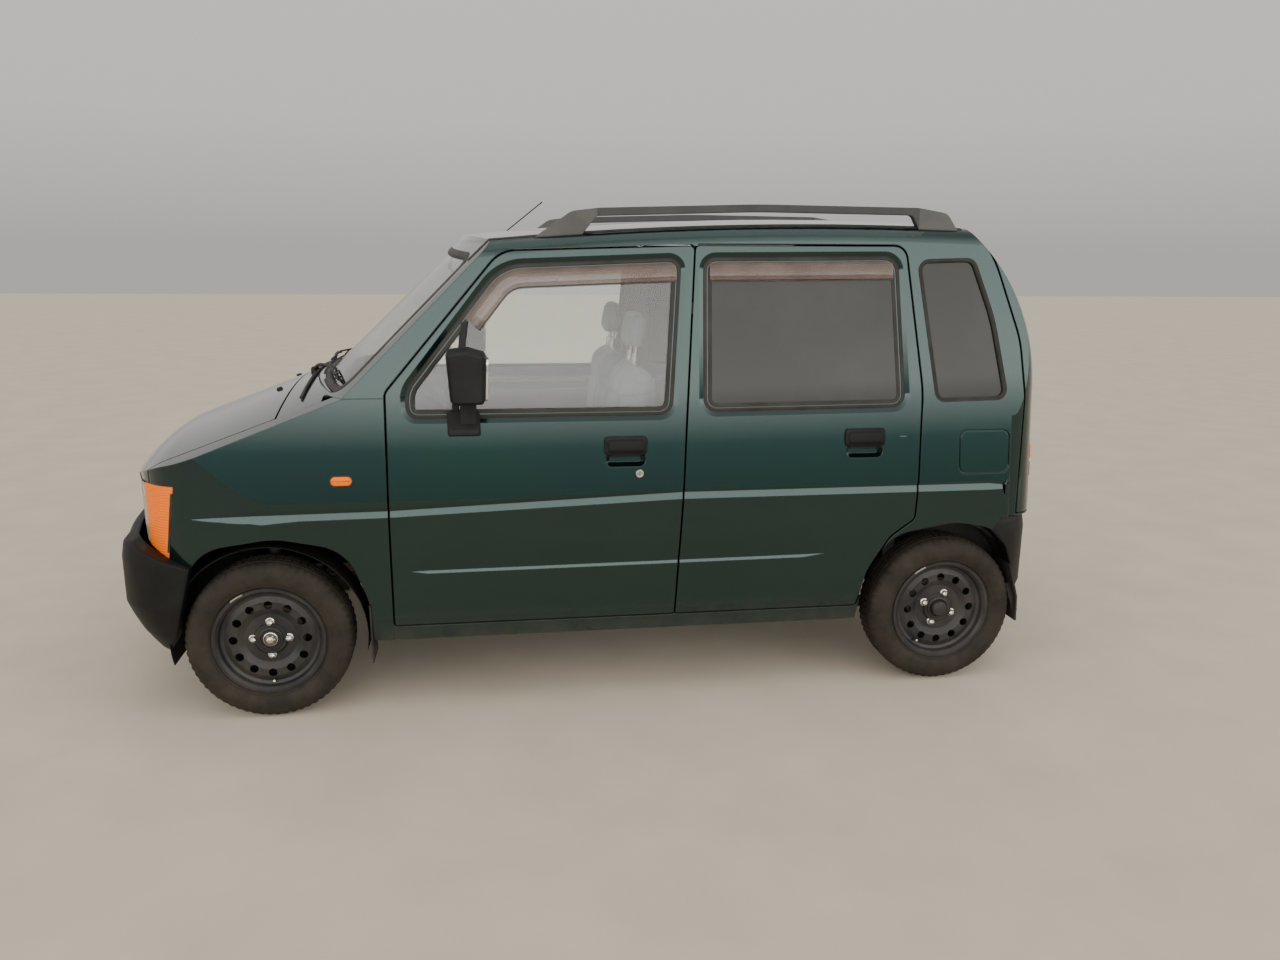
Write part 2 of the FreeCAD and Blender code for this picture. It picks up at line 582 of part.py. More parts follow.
gate = layer("skin", "door", side_block(TAILGATE_SIDE, -WIDE, WIDE))
gate = gate.cut(front_block(TAIL_GLASS, REAR_FAR - 100, REAR_AXLE + 22.5))
tail_lamp_parts = []
for side, sign in SIDES:
    gate = gate.cut(front_block([(sign * y, z, r) for y, z, r in TAIL_LAMP], REAR_FAR - 100, REAR_AXLE - 277.5))
    gate = gate.cut(Part.makeCylinder(size("plate_hole_radius"), 200,
                                      V(REAR_FAR, sign * size("plate_hole_spacing") / 2, 780), V(1, 0, 0)))
    fitted = grow([(sign * y, z, r) for y, z, r in TAIL_LAMP], -size("glass_fit"))
    tail_lamp_parts.append(layer("skin", "door", front_block(fitted, REAR_FAR - 100, REAR_AXLE - 277.5)))
keep("tailgate", gate)
keep("tail_lamps", solids(*tail_lamp_parts))
gate_pane = layer("pane_out", "pane_in", front_block(grow(TAIL_GLASS, -size("glass_fit")), REAR_FAR - 100, REAR_AXLE + 22.5))
keep("tailgate_glass", gate_pane)


# Lamps, grille and bumpers

lamp_zone = side_block(LAMP_SIDE, size("grille_half") + FIT, 760)
lamp = layer("skin", "inside", lamp_zone).cut(side_block(grow(FRONT_BUMPER, FIT), -WIDE, WIDE))
amber_zone = box(FRONT_AXLE + 187.5, FRONT_FAR, 572 - FIT, 760, 500, 820)
keep("headlamps", solids(lamp.cut(amber_zone), mirrored(lamp.cut(amber_zone))))
amber = lamp.common(box(FRONT_AXLE + 187.5, FRONT_FAR, 572, 760, 500, 820))
keep("corner_lamps", solids(amber, mirrored(amber)))

GRILLE_HALF = size("grille_half")
grille = layer("pane_out", "inside", box(FRONT_AXLE + 187.5, FRONT_FAR, -GRILLE_HALF, GRILLE_HALF, 622, 786))
for z in (650, 690, 730):
    grille = grille.cut(box(FRONT_AXLE + 447.5, FRONT_FAR, -380, 380, z, z + 20))
keep("grille", grille)


def bumper_plan(front, inset, tuck, height):
    """Plan outline of a bumper's face at a height, with its end and sides set in."""
    d = 1 if front else -1
    end = d * (FRONT_END - inset)
    side = size("half_width") - 4 - tuck
    z = height
    edges = [Part.Arc(V(end - d * 62, -470, z), V(end, 0, z), V(end - d * 62, 470, z)).toShape()]
    for sign in (1, -1):
        edges.append(Part.Arc(V(end - d * 62, sign * 470, z), V(end - d * 122, sign * (side - 55), z),
                              V(end - d * 250, sign * side, z)).toShape())
        edges.append(Part.makeLine(V(end - d * 250, sign * side, z), V(d * (FRONT_END - 650), sign * side, z)))
    edges.append(Part.makeLine(V(d * (FRONT_END - 650), side, z), V(d * (FRONT_END - 650), -side, z)))
    return Part.Wire(Part.__sortEdges__(edges))


def behind_bumper(front):
    """Everything inside a bumper's upright wall."""
    inset = size("bumper_wall") + FIT
    return Part.Face(bumper_plan(front, inset, inset, 0)).extrude(V(0, 0, 700))


def bumper(front):
    """A wrap-round bumper whose face turns in at its top and towards its bottom."""
    rows = FRONT_BUMPER_FACE if front else REAR_BUMPER_FACE
    wall = size("bumper_wall")
    middle = (rows[0][0] + rows[-1][0]) / 2
    outer = Part.makeLoft([bumper_plan(front, inset, tuck, z) for z, inset, tuck in rows], True, True)
    inner = Part.makeLoft([bumper_plan(front, wall + (inset if z < middle else 0), wall, z)
                           for z, inset, tuck in rows], True, True)
    return outer.cut(inner).common(side_block(FRONT_BUMPER if front else REAR_BUMPER, -WIDE, WIDE))


plate_holes = [Part.makeCylinder(size("plate_hole_radius"), 300,
                                 V(FRONT_END - 200, s * size("plate_hole_spacing") / 2, 420), V(1, 0, 0))
               for s in (1, -1)]
keep("front_bumper", bumper(True).cut(plate_holes))
keep("rear_bumper", bumper(False))

# Floor and front structure

def wheelhouse(sign):
    """Rear inner arch: a half drum with a closed inner wall."""
    y0, y1 = 470, 622
    outer = Part.makeCylinder(345, y1 - y0, V(REAR_AXLE, y0, 258), V(0, 1, 0))
    inner = Part.makeCylinder(332, y1 - y0, V(REAR_AXLE, y0 + 13, 258), V(0, 1, 0))
    drum = outer.cut(inner).cut(box(-2000, 0, 400, 700, -200, 330)).common(FORM["lining"])
    return on_side(drum, sign)


floor_top = size("floor_under") + size("floor_wall")
floor_half = size("half_width") - size("body_wall") - size("sill_tuck") - FIT
floor = box(-925, 760, -floor_half, floor_half, size("floor_under"), floor_top)
kick = box(-925, -900, -WIDE, WIDE, floor_top, 450).common(FORM["lining"])
rear_floor = box(-1520, -925, -471, 471, 425, 450)
rear_panel = box(-1538, -1515, -471, 471, 400, 620)
rear_sill = box(-1600, -1515, -555.7, 555.7, 590, 665).common(FORM["rebate"])
rear_brackets = [box(-1620, -1520, s * 300 - 20, s * 300 + 20, 470, 510) for s in (1, -1)]
rear_end = rear_panel.fuse([rear_sill] + rear_brackets)
rear_end = rear_end.cut(box(-1700, -1400, -WIDE, WIDE, 0, 614 + FIT).cut(behind_bumper(False)))
underbody = floor.fuse([kick, rear_floor, rear_end, wheelhouse(1), wheelhouse(-1)])
keep("underbody", underbody.removeSplitter())

firewall = box(745, 760, -600, 600, floor_top, 900).common(FORM["inside"])
cowl_zone = box(COWL_BACK, COWL_FRONT, -609, 609, 900, 1200).fuse(
    box(840, COWL_BACK, -555.7, 555.7, 900, 1200))
cowl = layer("skin", "panel", cowl_zone).cut(front_block(SCREEN_OUTLINE, *SCREEN_X))
scuttle = box(745, COWL_FRONT - 3, -555.7, 555.7, 880, 900)
cowl_wall = box(COWL_FRONT - 23, COWL_FRONT - 3, -555.7, 555.7, 890, 1055).common(FORM["panel"])
inner_walls = [box(760, 1440, s * 352 - 7, s * 352 + 7, 430, 800).common(FORM["lining"])
               for s in (1, -1)]
SHELF = 655
shelves = [box(800, 1420, min(s * 352, s * 600), max(s * 352, s * 600), SHELF, SHELF + 13).common(
    FORM["lining"]) for s in (1, -1)]
front_panel = FORM["lining"].cut(FORM["lining"].translated(V(-15, 0, 0)))
front_panel = front_panel.common(box(1380, 1700, -440, 440, 320, 560).fuse(
    box(1380, 1700, -600, 600, 560, 790)))
front_brackets = [box(1490, 1650, s * 300 - 20, s * 300 + 20, 400, 440).common(
    behind_bumper(True)) for s in (1, -1)]
front_parts = [cowl, scuttle, cowl_wall, front_panel] + inner_walls + shelves + front_brackets
keep("front_structure", firewall.fuse(front_parts).removeSplitter())


# Running gear, bound to the sheet

def bind(thing, **expressions):
    """Set properties of an object by expressions on the sheet."""
    for prop, expression in expressions.items():
        thing.setExpression(prop.replace("__", "."), expression)
    return thing


FRONT_X = "(Sizes.car_length / 2 - Sizes.front_overhang)"
REAR_X = "(Sizes.car_length / 2 - Sizes.front_overhang - Sizes.wheelbase)"


def section(body, rows):
    """Closed sketch on a body's XY plane; each corner's X and Y is an expression."""
    plane = next(f for f in body.Origin.OriginFeatures if f.Role == "XY_Plane")
    sketch = body.newObject("Sketcher::SketchObject", body.Name + "Profile")
    sketch.AttachmentSupport = (plane, [""])
    sketch.MapMode = "FlatFace"
    points = [V(float(sheet.evalExpression(u)), float(sheet.evalExpression(v)), 0) for u, v in rows]
    count = len(points)
    for i, point in enumerate(points):
        sketch.addGeometry(Part.LineSegment(point, points[(i + 1) % count]), False)
    for i in range(count):
        sketch.addConstraint(Sketcher.Constraint("Coincident", i, 2, (i + 1) % count, 1))
    for i, (u, v) in enumerate(rows):
        for kind, expression in (("DistanceX", u), ("DistanceY", v)):
            value = points[i].x if kind == "DistanceX" else points[i].y
            index = sketch.addConstraint(Sketcher.Constraint(kind, -1, 1, i, 1, value))
            sketch.setExpression(f"Constraints[{index}]", expression)
    return sketch


def turned(label, rows):
    """A body turned about its local X axis from a section of axial and radial values."""
    body = DOC.addObject("PartDesign::Body", label)
    body.Label = label
    sketch = section(body, rows)
    spin = body.newObject("PartDesign::Revolution", label + "Turn")
    spin.Profile = sketch
    spin.ReferenceAxis = (sketch, ["H_Axis"])
    spin.Angle = 360
    sketch.Visibility = False
    return body


TYRE_ROWS = [("-Sizes.rim_half + 3", "Sizes.bead_radius"),
             ("-Sizes.rim_half + 0.5", "Sizes.rim_lip_radius + 0.4"),
             ("-Sizes.tyre_width / 2", "Sizes.bead_radius + 34"),
             ("-Sizes.tyre_width / 2", "Sizes.tyre_radius - 34"),
             ("-Sizes.tyre_width / 2 + 7", "Sizes.tyre_radius - 16"),
             ("-Sizes.tyre_width / 2 + Sizes.tyre_shoulder", "Sizes.tyre_radius"),
             ("Sizes.tyre_width / 2 - Sizes.tyre_shoulder", "Sizes.tyre_radius"),
             ("Sizes.tyre_width / 2 - 7", "Sizes.tyre_radius - 16"),
             ("Sizes.tyre_width / 2", "Sizes.tyre_radius - 34"),
             ("Sizes.tyre_width / 2", "Sizes.bead_radius + 34"),
             ("Sizes.rim_half - 0.5", "Sizes.rim_lip_radius + 0.4"),
             ("Sizes.rim_half - 3", "Sizes.bead_radius")]
RIM_ROWS = [("Sizes.rim_half + 4", "Sizes.rim_lip_radius"),
            ("Sizes.rim_half + 4", "Sizes.rim_lip_radius - 10"),
            ("Sizes.rim_half - 4", "Sizes.bead_radius - 5"),
            ("Sizes.rim_half - 18", "Sizes.bead_radius - 10"),
            ("Sizes.rim_half - 22", "Sizes.disc_hole_circle + 30"),
            ("Sizes.rim_half - Sizes.disc_inset - 4", "Sizes.disc_hole_circle + 12"),
            ("Sizes.rim_half - Sizes.disc_inset - 4", "Sizes.disc_hole_circle - 12"),
            ("Sizes.rim_half - 28", "Sizes.hub_radius + 54"),
            ("Sizes.rim_half - 28", "Sizes.hub_radius + 26"),
            ("Sizes.rim_half - 20", "Sizes.hub_radius + 20"),
            ("Sizes.rim_half - 20", "Sizes.spindle_radius + 0.05"),
            ("Sizes.rim_half - 40", "Sizes.spindle_radius + 0.05"),
            ("Sizes.rim_half - 40", "Sizes.hub_radius + 12"),
            ("Sizes.rim_half - 34", "Sizes.hub_radius + 20"),
            ("Sizes.rim_half - 34", "Sizes.hub_radius + 56"),
            ("Sizes.rim_half - Sizes.disc_inset - 10", "Sizes.disc_hole_circle - 10"),
            ("Sizes.rim_half - Sizes.disc_inset - 10", "Sizes.disc_hole_circle + 10"),
            ("Sizes.rim_half - 28", "Sizes.disc_hole_circle + 30"),
            ("Sizes.rim_half - 28", "Sizes.bead_radius - 11"),
            ("-Sizes.rim_half + 4", "Sizes.bead_radius - 8"),
            ("-Sizes.rim_half - 4", "Sizes.bead_radius - 3"),
            ("-Sizes.rim_half - 4", "Sizes.rim_lip_radius"),
            ("-Sizes.rim_half", "Sizes.rim_lip_radius"),
            ("-Sizes.rim_half + 1", "Sizes.bead_radius - 0.3"),
            ("Sizes.rim_half - 1", "Sizes.bead_radius - 0.3"),
            ("Sizes.rim_half", "Sizes.rim_lip_radius")]


def drill_disc(body):
    """Ring of round holes through the wheel disc."""
    plane = next(f for f in body.Origin.OriginFeatures if f.Role == "YZ_Plane")
    sketch = body.newObject("Sketcher::SketchObject", body.Name + "Hole")
    sketch.AttachmentSupport = (plane, [""])
    sketch.MapMode = "FlatFace"
    sketch.addGeometry(Part.Circle(V(size("disc_hole_circle"), 0, 0), V(0, 0, 1),
                                   size("disc_hole_radius")), False)
    place = sketch.addConstraint(Sketcher.Constraint("DistanceX", -1, 1, 0, 3,
                                                     size("disc_hole_circle")))
    sketch.addConstraint(Sketcher.Constraint("PointOnObject", 0, 3, -1))
    wide = sketch.addConstraint(Sketcher.Constraint("Radius", 0, size("disc_hole_radius")))
    sketch.setExpression(f"Constraints[{place}]", "Sizes.disc_hole_circle")
    sketch.setExpression(f"Constraints[{wide}]", "Sizes.disc_hole_radius")
    hole = body.newObject("PartDesign::Pocket", body.Name + "HoleCut")
    hole.Profile = sketch
    hole.Type = "Length"
    hole.Midplane = True
    hole.Length = 200
    sketch.Visibility = False
    ring = body.newObject("PartDesign::PolarPattern", body.Name + "HoleRing")
    ring.Originals = [hole]
    ring.Axis = (next(f for f in body.Origin.OriginFeatures if f.Role == "X_Axis"), [""])
    ring.Angle = 360
    ring.setExpression("Occurrences", "Sizes.disc_hole_count")
    body.Tip = ring


for end, x_expr in (("front", FRONT_X), ("rear", REAR_X)):
    for side, sign in SIDES:
        tyre = turned(f"{end}_{side}_tyre", TYRE_ROWS)
        rim = turned(f"{end}_{side}_rim", RIM_ROWS)
        drill_disc(rim)
        for wheel in (tyre, rim):
            bind(wheel, Placement__Base__x=x_expr,
                 Placement__Base__y=f"{sign} * Sizes.track / 2",
                 Placement__Base__z="Sizes.tyre_radius",
                 Placement__Rotation__Angle=f"{sign * 90}")
            PIECES[wheel.Label] = wheel

AXLE_Z = size("tyre_radius")
SPINDLE = size("spindle_radius")
BALL = V(FRONT_AXLE, size("ball_y"), size("ball_height"))
TOWER = V(FRONT_AXLE, size("tower_y"), size("tower_height"))
KING = (TOWER - BALL).normalize()
SPINDLE_END = WHEEL_Y + size("rim_half") - 16


def knuckle():
    """Left hub carrier: spindle, drum, ball-joint boss and the clamp round the strut."""
    spindle = Part.makeCylinder(SPINDLE, SPINDLE_END - 560, V(FRONT_AXLE, 560, AXLE_Z), V(0, 1, 0))
    nut = Part.makeCylinder(14, 10, V(FRONT_AXLE, SPINDLE_END, AXLE_Z), V(0, 1, 0))
    disc = Part.makeCylinder(105, 22, V(FRONT_AXLE, 597, AXLE_Z), V(0, 1, 0))
    carrier = Part.makeCylinder(48, 62, V(FRONT_AXLE, 536, AXLE_Z), V(0, 1, 0))
    low_boss = Part.makeCylinder(22, 60, BALL + KING * 14, KING)
    neck = Part.makeCylinder(26, 150, BALL + KING * 60, KING)
    clamp = Part.makeCylinder(32, 46, BALL + KING * 200, KING)
    arm = box(FRONT_AXLE - 130, FRONT_AXLE - 20, 520, 544, 236, 262)
    body = spindle.fuse([nut, disc, carrier, low_boss, neck, clamp, arm])
    bore_low = Part.makeCylinder(10.05, 40, BALL, KING)
    bore_top = Part.makeCylinder(20.05, 60, BALL + KING * 212, KING)
    return body.cut(bore_low).cut(bore_top).removeSplitter()


def front_corner():
    """Left lower arm with its ball pin, and the strut up to the tower."""
    pin = Part.makeCylinder(10, 46, BALL - KING * 8, KING)
    arm = box(FRONT_AXLE - 30, FRONT_AXLE + 30, 330, 580, 150, 172)
    strut = Part.makeCylinder(20, 380, BALL + KING * 214, KING)
    spring = Part.makeCylinder(46, 160, BALL + KING * 400, KING)
    post = box(FRONT_AXLE - 30, FRONT_AXLE + 30, 330, 366, 150, 240)
    under_shelf = box(900, 1300, 300, 700, 0, SHELF - FIT)
    leg = strut.fuse(spring).removeSplitter().common(under_shelf)
    return arm.fuse([pin, post]).removeSplitter(), leg


hub = knuckle()
arm, strut = front_corner()
for side, sign in SIDES:
    keep(f"{side}_knuckle", on_side(hub, sign))
member = box(1050, 1180, -366, 366, 205, 245)
lower = member.fuse([arm, mirrored(arm)]).removeSplitter()
keep("front_suspension", solids(lower, strut, mirrored(strut)))


def rear_axle():
    """Beam axle with drums and spindles, trailing arms and dampers."""
    beam = Part.makeCylinder(32, 1130, V(REAR_AXLE, -565, AXLE_Z), V(0, 1, 0))
    parts = []
    for sign in (1, -1):
        y = V(0, sign, 0)
        parts.append(Part.makeCylinder(SPINDLE, SPINDLE_END - 560, V(REAR_AXLE, sign * 560, AXLE_Z), y))
        parts.append(Part.makeCylinder(18, 8, V(REAR_AXLE, sign * SPINDLE_END, AXLE_Z), y))
        parts.append(Part.makeCylinder(105, 55, V(REAR_AXLE, sign * 560, AXLE_Z), y))
        parts.append(box(REAR_AXLE, -880, min(sign * 400, sign * 440), max(sign * 400, sign * 440),
                         206, 224.7).fuse(box(REAR_AXLE - 20, REAR_AXLE + 40, min(sign * 400, sign * 440),
                                              max(sign * 400, sign * 440), 206, 270)))
        parts.append(Part.makeCylinder(24, 424.7 - 268, V(REAR_AXLE, sign * 420, 268), V(0, 0, 1)))
    return beam.fuse(parts).removeSplitter()


keep("rear_axle", rear_axle())

engine = bind(DOC.addObject("Part::Box", "engine_block"), Length="Sizes.engine_length",
              Width="Sizes.engine_width", Height="Sizes.engine_height",
              Placement__Base__x=f"{FRONT_X} - 42", Placement__Base__y="-Sizes.engine_width / 2",
              Placement__Base__z="245.3")
tank = bind(DOC.addObject("Part::Box", "fuel_tank"), Length="Sizes.tank_length",
            Width="Sizes.tank_width", Height="Sizes.tank_height",
            Placement__Base__x=f"{REAR_X} + 390", Placement__Base__y="-Sizes.tank_width / 2 + 60",
            Placement__Base__z="Sizes.floor_under - Sizes.tank_height - 0.3")
for block in (engine, tank):
    block.Label = block.Name
    PIECES[block.Label] = block

pipe_z = size("floor_under") - 26
route = [V(FRONT_AXLE - 42 - FIT, -230, 300), V(1015, -230, 300), V(980, -330, pipe_z), V(-960, -330, pipe_z),
         V(-1120, -330, 360), V(-1390, -330, 368)]
silencer = Part.makeCylinder(54, 420, V(-1440, -330, 368), V(0, 1, 0))
tail_pipe = bar([V(-1440, -300, 368), V(-1505, -300, 230), V(-1600, -300, 205)], 17)
keep("exhaust", bar(route, 20).fuse([silencer, tail_pipe]).removeSplitter())


# Cabin

dash_rows = [(743, 600, 0), (743, 880, 0), (760, 985, 20), (640, 965, 60), (540, 900, 40),
             (555, 760, 30), (640, 600, 30)]
dash = side_block(dash_rows, -WIDE, WIDE).common(FORM["inside"]).cut(box(744.7, 2000, -900, 900, 0, 900.3))
keep("dashboard", dash.cut(layer("skin", "inside", box(300, 900, -WIDE, WIDE, 900, 1200))))

FRONT_SEAT = [(400, 470, 30), (410, 590, 40), (60, 560, 60), (-95, 1160, 50), (-205, 1150, 50),
              (-60, 470, 40)]
seats = []
for sign in (1, -1):
    centre = sign * size("seat_y")
    headrest = side_block([(-88, 1170, 20), (-118, 1330, 30), (-190, 1325, 30), (-170, 1168, 20)],
                          centre - 130, centre + 130)
    posts = [Part.makeCylinder(6, 70, V(-138, centre + y, 1120), V(0, 0, 1)) for y in (-60, 60)]
    seats.append(side_block(FRONT_SEAT, centre - 235, centre + 235).fuse([headrest] + posts))
    seats.append(box(-20, 340, centre - 190, centre + 190, floor_top + 0.3, 469.7))
keep("front_seats", solids(*seats))
REAR_SEAT = [(-440, 500, 30), (-430, 620, 40), (-760, 590, 60), (-900, 1150, 50), (-1010, 1140, 50),
             (-890, 460, 20), (-500, 460, 20)]
rear_seat = side_block(REAR_SEAT, -462, 462)
rear_legs = box(-860, -480, -400, 400, floor_top + 0.3, 465)
keep("rear_seat", rear_seat.fuse(rear_legs).removeSplitter())


def steering_wheel():
    """Rim, spokes and hub, facing up and back."""
    ring = Part.makeTorus(size("steer_wheel_radius"), 13)
    hub = Part.makeCylinder(55, 40, V(0, 0, -30))
    spokes = [Part.makeBox(size("steer_wheel_radius"), 34, 12, V(0, -17, -12)).rotated(
        V(0, 0, 0), V(0, 0, 1), turn) for turn in (0, 180, 270)]
    return ring.fuse([hub] + spokes).removeSplitter()


wheel = keep("steering_wheel", steering_wheel())
STEER_POINT = V(size("steer_wheel_x"), -size("seat_y"), size("steer_wheel_height"))
wheel.Placement = FreeCAD.Placement(STEER_POINT, FreeCAD.Rotation(V(0, 1, 0), -size("column_tilt")))
axis = V(-math.sin(math.radians(size("column_tilt"))), 0, math.cos(math.radians(size("column_tilt"))))
column = Part.makeCylinder(24, 190, STEER_POINT - axis * 220.5, axis)
keep("steering_column", column.cut(PIECES["dashboard"].Shape))


# Roof rails, aerial and mudflaps

rail_rows = from_axle([(878, 1560, 0), (1010, 1652, 50), (1098, 1663, 200), (1631, size("rail_top"), 3000),
                       (2190, 1679, 200), (2295, 1662, 40), (2362, 1570, 0), (2215, 1570, 0),
                       (2170, 1654, 20), (1631, 1657, 3000), (1090, 1637, 20), (1030, 1560, 0)])
rail = side_block(rail_rows, 545, 571).cut(FORM["skin"])
keep("roof_rails", solids(rail, mirrored(rail)))

AERIAL_FOOT = V(back(640), -614, 1453)
AERIAL_TIP = V(back(985), -606, 1727.5)
reach = AERIAL_TIP - AERIAL_FOOT
rod = Part.makeCylinder(2.5, reach.Length, AERIAL_FOOT, reach)
sleeve = Part.makeCylinder(6, 62, AERIAL_FOOT, reach)
feet = [Part.makeCylinder(5, 24, AERIAL_FOOT + reach * share, V(0, 1, 0)) for share in (0.03, 0.11)]
aerial = rod.fuse([sleeve] + feet).cut(FORM["skin"].translated(V(0, -FIT, 0)))
keep("aerial", aerial.removeSplitter())

front_flap = side_block(grow(FRONT_ARCH, -FIT), 560, 690).cut(
    side_block(grow(FRONT_ARCH, -6 - FIT), 500, 700)).common(box(770, 800, 560, 690, 180, 380))
rear_flap = side_block([(-1475.6, 432, 0), (-1469.5, 432, 0), (-1505.5, 308, 0), (-1510, 216, 0),
                        (-1516, 216, 0), (-1511.6, 310, 0)], 555, 685)
keep("mudflaps", solids(front_flap, mirrored(front_flap), rear_flap, mirrored(rear_flap)))

DOC.recompute()
os.makedirs("parts", exist_ok=True)
for label, piece in PIECES.items():
    bad = {"Invalid", "Error"} & set(piece.State)
    if bad or piece.Shape.isNull() or not piece.Shape.isValid() or not piece.Shape.Solids:
        raise RuntimeError(f"{label} did not build: {piece.State}")
    piece.Shape.exportStep(f"parts/{label}.step")
    print(label, len(piece.Shape.Solids), round(piece.Shape.Volume / 1e6, 2))
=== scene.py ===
"""Kei car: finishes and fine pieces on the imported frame, with floor, light and camera.

Metres, in the row frame: X forward, Y to the car's left, Z up from the ground.
"""
import json
import math

import bmesh
import bpy
from mathutils import Matrix, Vector
from mathutils.bvhtree import BVHTree


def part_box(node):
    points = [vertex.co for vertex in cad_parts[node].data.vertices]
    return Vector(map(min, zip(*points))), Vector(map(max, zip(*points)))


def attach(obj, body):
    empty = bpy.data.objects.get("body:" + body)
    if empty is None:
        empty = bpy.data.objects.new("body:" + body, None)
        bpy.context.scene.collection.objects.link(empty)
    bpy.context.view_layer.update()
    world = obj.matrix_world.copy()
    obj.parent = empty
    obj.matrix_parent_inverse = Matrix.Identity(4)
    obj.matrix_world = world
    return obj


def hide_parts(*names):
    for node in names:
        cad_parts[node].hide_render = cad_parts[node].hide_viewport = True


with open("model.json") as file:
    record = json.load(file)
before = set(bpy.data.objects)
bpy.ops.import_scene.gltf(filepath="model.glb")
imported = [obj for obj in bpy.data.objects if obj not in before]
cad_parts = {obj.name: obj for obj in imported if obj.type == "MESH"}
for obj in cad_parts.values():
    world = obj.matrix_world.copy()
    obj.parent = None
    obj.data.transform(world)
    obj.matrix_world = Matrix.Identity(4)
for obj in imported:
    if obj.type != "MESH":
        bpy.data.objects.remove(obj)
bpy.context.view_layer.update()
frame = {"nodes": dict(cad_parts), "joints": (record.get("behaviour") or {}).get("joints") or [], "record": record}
NODES = frame["nodes"]
JOINTS = {joint["name"]: joint for joint in frame["joints"]}
SIDES = (("left", 1), ("right", -1))

# The car's main sizes, the same as in the part's own table
FRONT_AXLE = JOINTS["steer_left"]["pos_m"][0]
REAR_AXLE = JOINTS["rear_left_wheel_spin"]["pos_m"][0]
HALF_WIDTH = 0.6975
WIDE_AT = 0.735
LEAN = math.radians(7.04)
TYRE_RADIUS = 0.268
BEAD_RADIUS = 0.168
NUT_CIRCLE = 0.057
RECESS = 0.007
DOOR_WALL = 0.045


def back(distance):
    """X of a point so many millimetres behind the front axle."""
    return FRONT_AXLE - distance / 1000


def from_axle(rows):
    """Outline rows of (mm behind the front axle, height in mm, radius in mm) as metres."""
    return [(back(b), z / 1000, r / 1000) for b, z, r in rows]


def in_metres(rows):
    """Outline rows of millimetres as metres."""
    return [(u / 1000, v / 1000, r / 1000) for u, v, r in rows]


# Materials

class Tree:
    """Node tree of a material, or of the surround."""

    def __init__(self, owner, shader="Principled BSDF", space="Object"):
        owner.use_nodes = True
        self.owner = owner
        self.nodes = owner.node_tree.nodes
        self.links = owner.node_tree.links
        self.shader = self.nodes[shader]
        self.space = space

    def put(self, node, values):
        """Give a node's inputs numbers, colours or other nodes' outputs."""
        for key, value in values.items():
            if isinstance(value, bpy.types.NodeSocket):
                self.links.new(value, node.inputs[key])
            else:
                node.inputs[key].default_value = (*value, 1.0) if isinstance(value, tuple) else value

    def add(self, kind, values, **settings):
        """New node with its settings and inputs."""
        node = self.nodes.new("ShaderNode" + kind)
        for key, value in settings.items():
            setattr(node, key, value)
        self.put(node, values)
        return node

    def point(self):
        """The row frame's coordinates on any piece."""
        return self.add("TexCoord", {}).outputs[self.space]

    def axis(self, name):
        """One of those coordinates."""
        return self.add("SeparateXYZ", {"Vector": self.point()}).outputs[name]

    def noise(self, scale, detail=4.0, rough=0.55):
        """Noise over the row frame, as a factor."""
        return self.add("TexNoise", {"Scale": scale, "Detail": detail, "Roughness": rough,
            "Vector": self.point()}).outputs["Fac"]

    def ramp(self, source, low, high, start=0.0, stop=1.0):
        """Map a factor from one range to another."""
        return self.add("MapRange", {"Value": source, "From Min": start, "From Max": stop, "To Min": low,
            "To Max": high}).outputs["Result"]

    def patches(self, start, stop, *grain, high=1.0):
        """Soft-edged patches of noise."""
        return self.ramp(self.noise(*grain), 0.0, high, start, stop)

    def mix(self, factor, first, second):
        """Mix of two colours."""
        return self.add("Mix", {0: factor, 6: first, 7: second}, data_type="RGBA").outputs[2]

    def combine(self, operation, *factors):
        """Math on factors."""
        return self.add("Math", dict(enumerate(factors)), operation=operation).outputs["Value"]

    def product(self, first, second):
        """Two factors multiplied."""
        return self.combine("MULTIPLY", first, second)

    def wave(self, source, ribs):
        """Ribs across a coordinate."""
        return self.combine("SINE", self.product(source, ribs))

    def bump(self, height, strength, distance, edges=0.0, normal="Normal"):
        """Bump, over edges that the shader rounds where a radius is given."""
        node = self.add("Bump", {"Strength": strength, "Distance": distance, "Height": height})
        if edges:
            edge = self.add("Bevel", {"Radius": edges}, samples=4)
            self.put(node, {"Normal": edge.outputs["Normal"]})
        self.put(self.shader, {normal: node.outputs["Normal"]})

    def dust(self, top, bottom, amount):
        """Dust factor that grows towards the ground, broken up by noise."""
        rise = self.ramp(self.axis("Z"), amount, 0.0, bottom, top)
        return self.product(rise, self.ramp(self.noise(14, 8, 0.7), 0.2, 1.25, 0.3, 0.7))

    def finish(self, colour, rough, **values):
        """Set the shader and return the material."""
        self.put(self.shader, {"Base Color": colour, "Roughness": rough})
        self.put(self.shader, {key.replace("_", " "): value for key, value in values.items()})
        return self.owner


DUST = (0.19, 0.155, 0.115)
LINING = (0.16, 0.165, 0.17)


def new_tree(name):
    """Tree of a new material."""
    return Tree(bpy.data.materials.new(name))


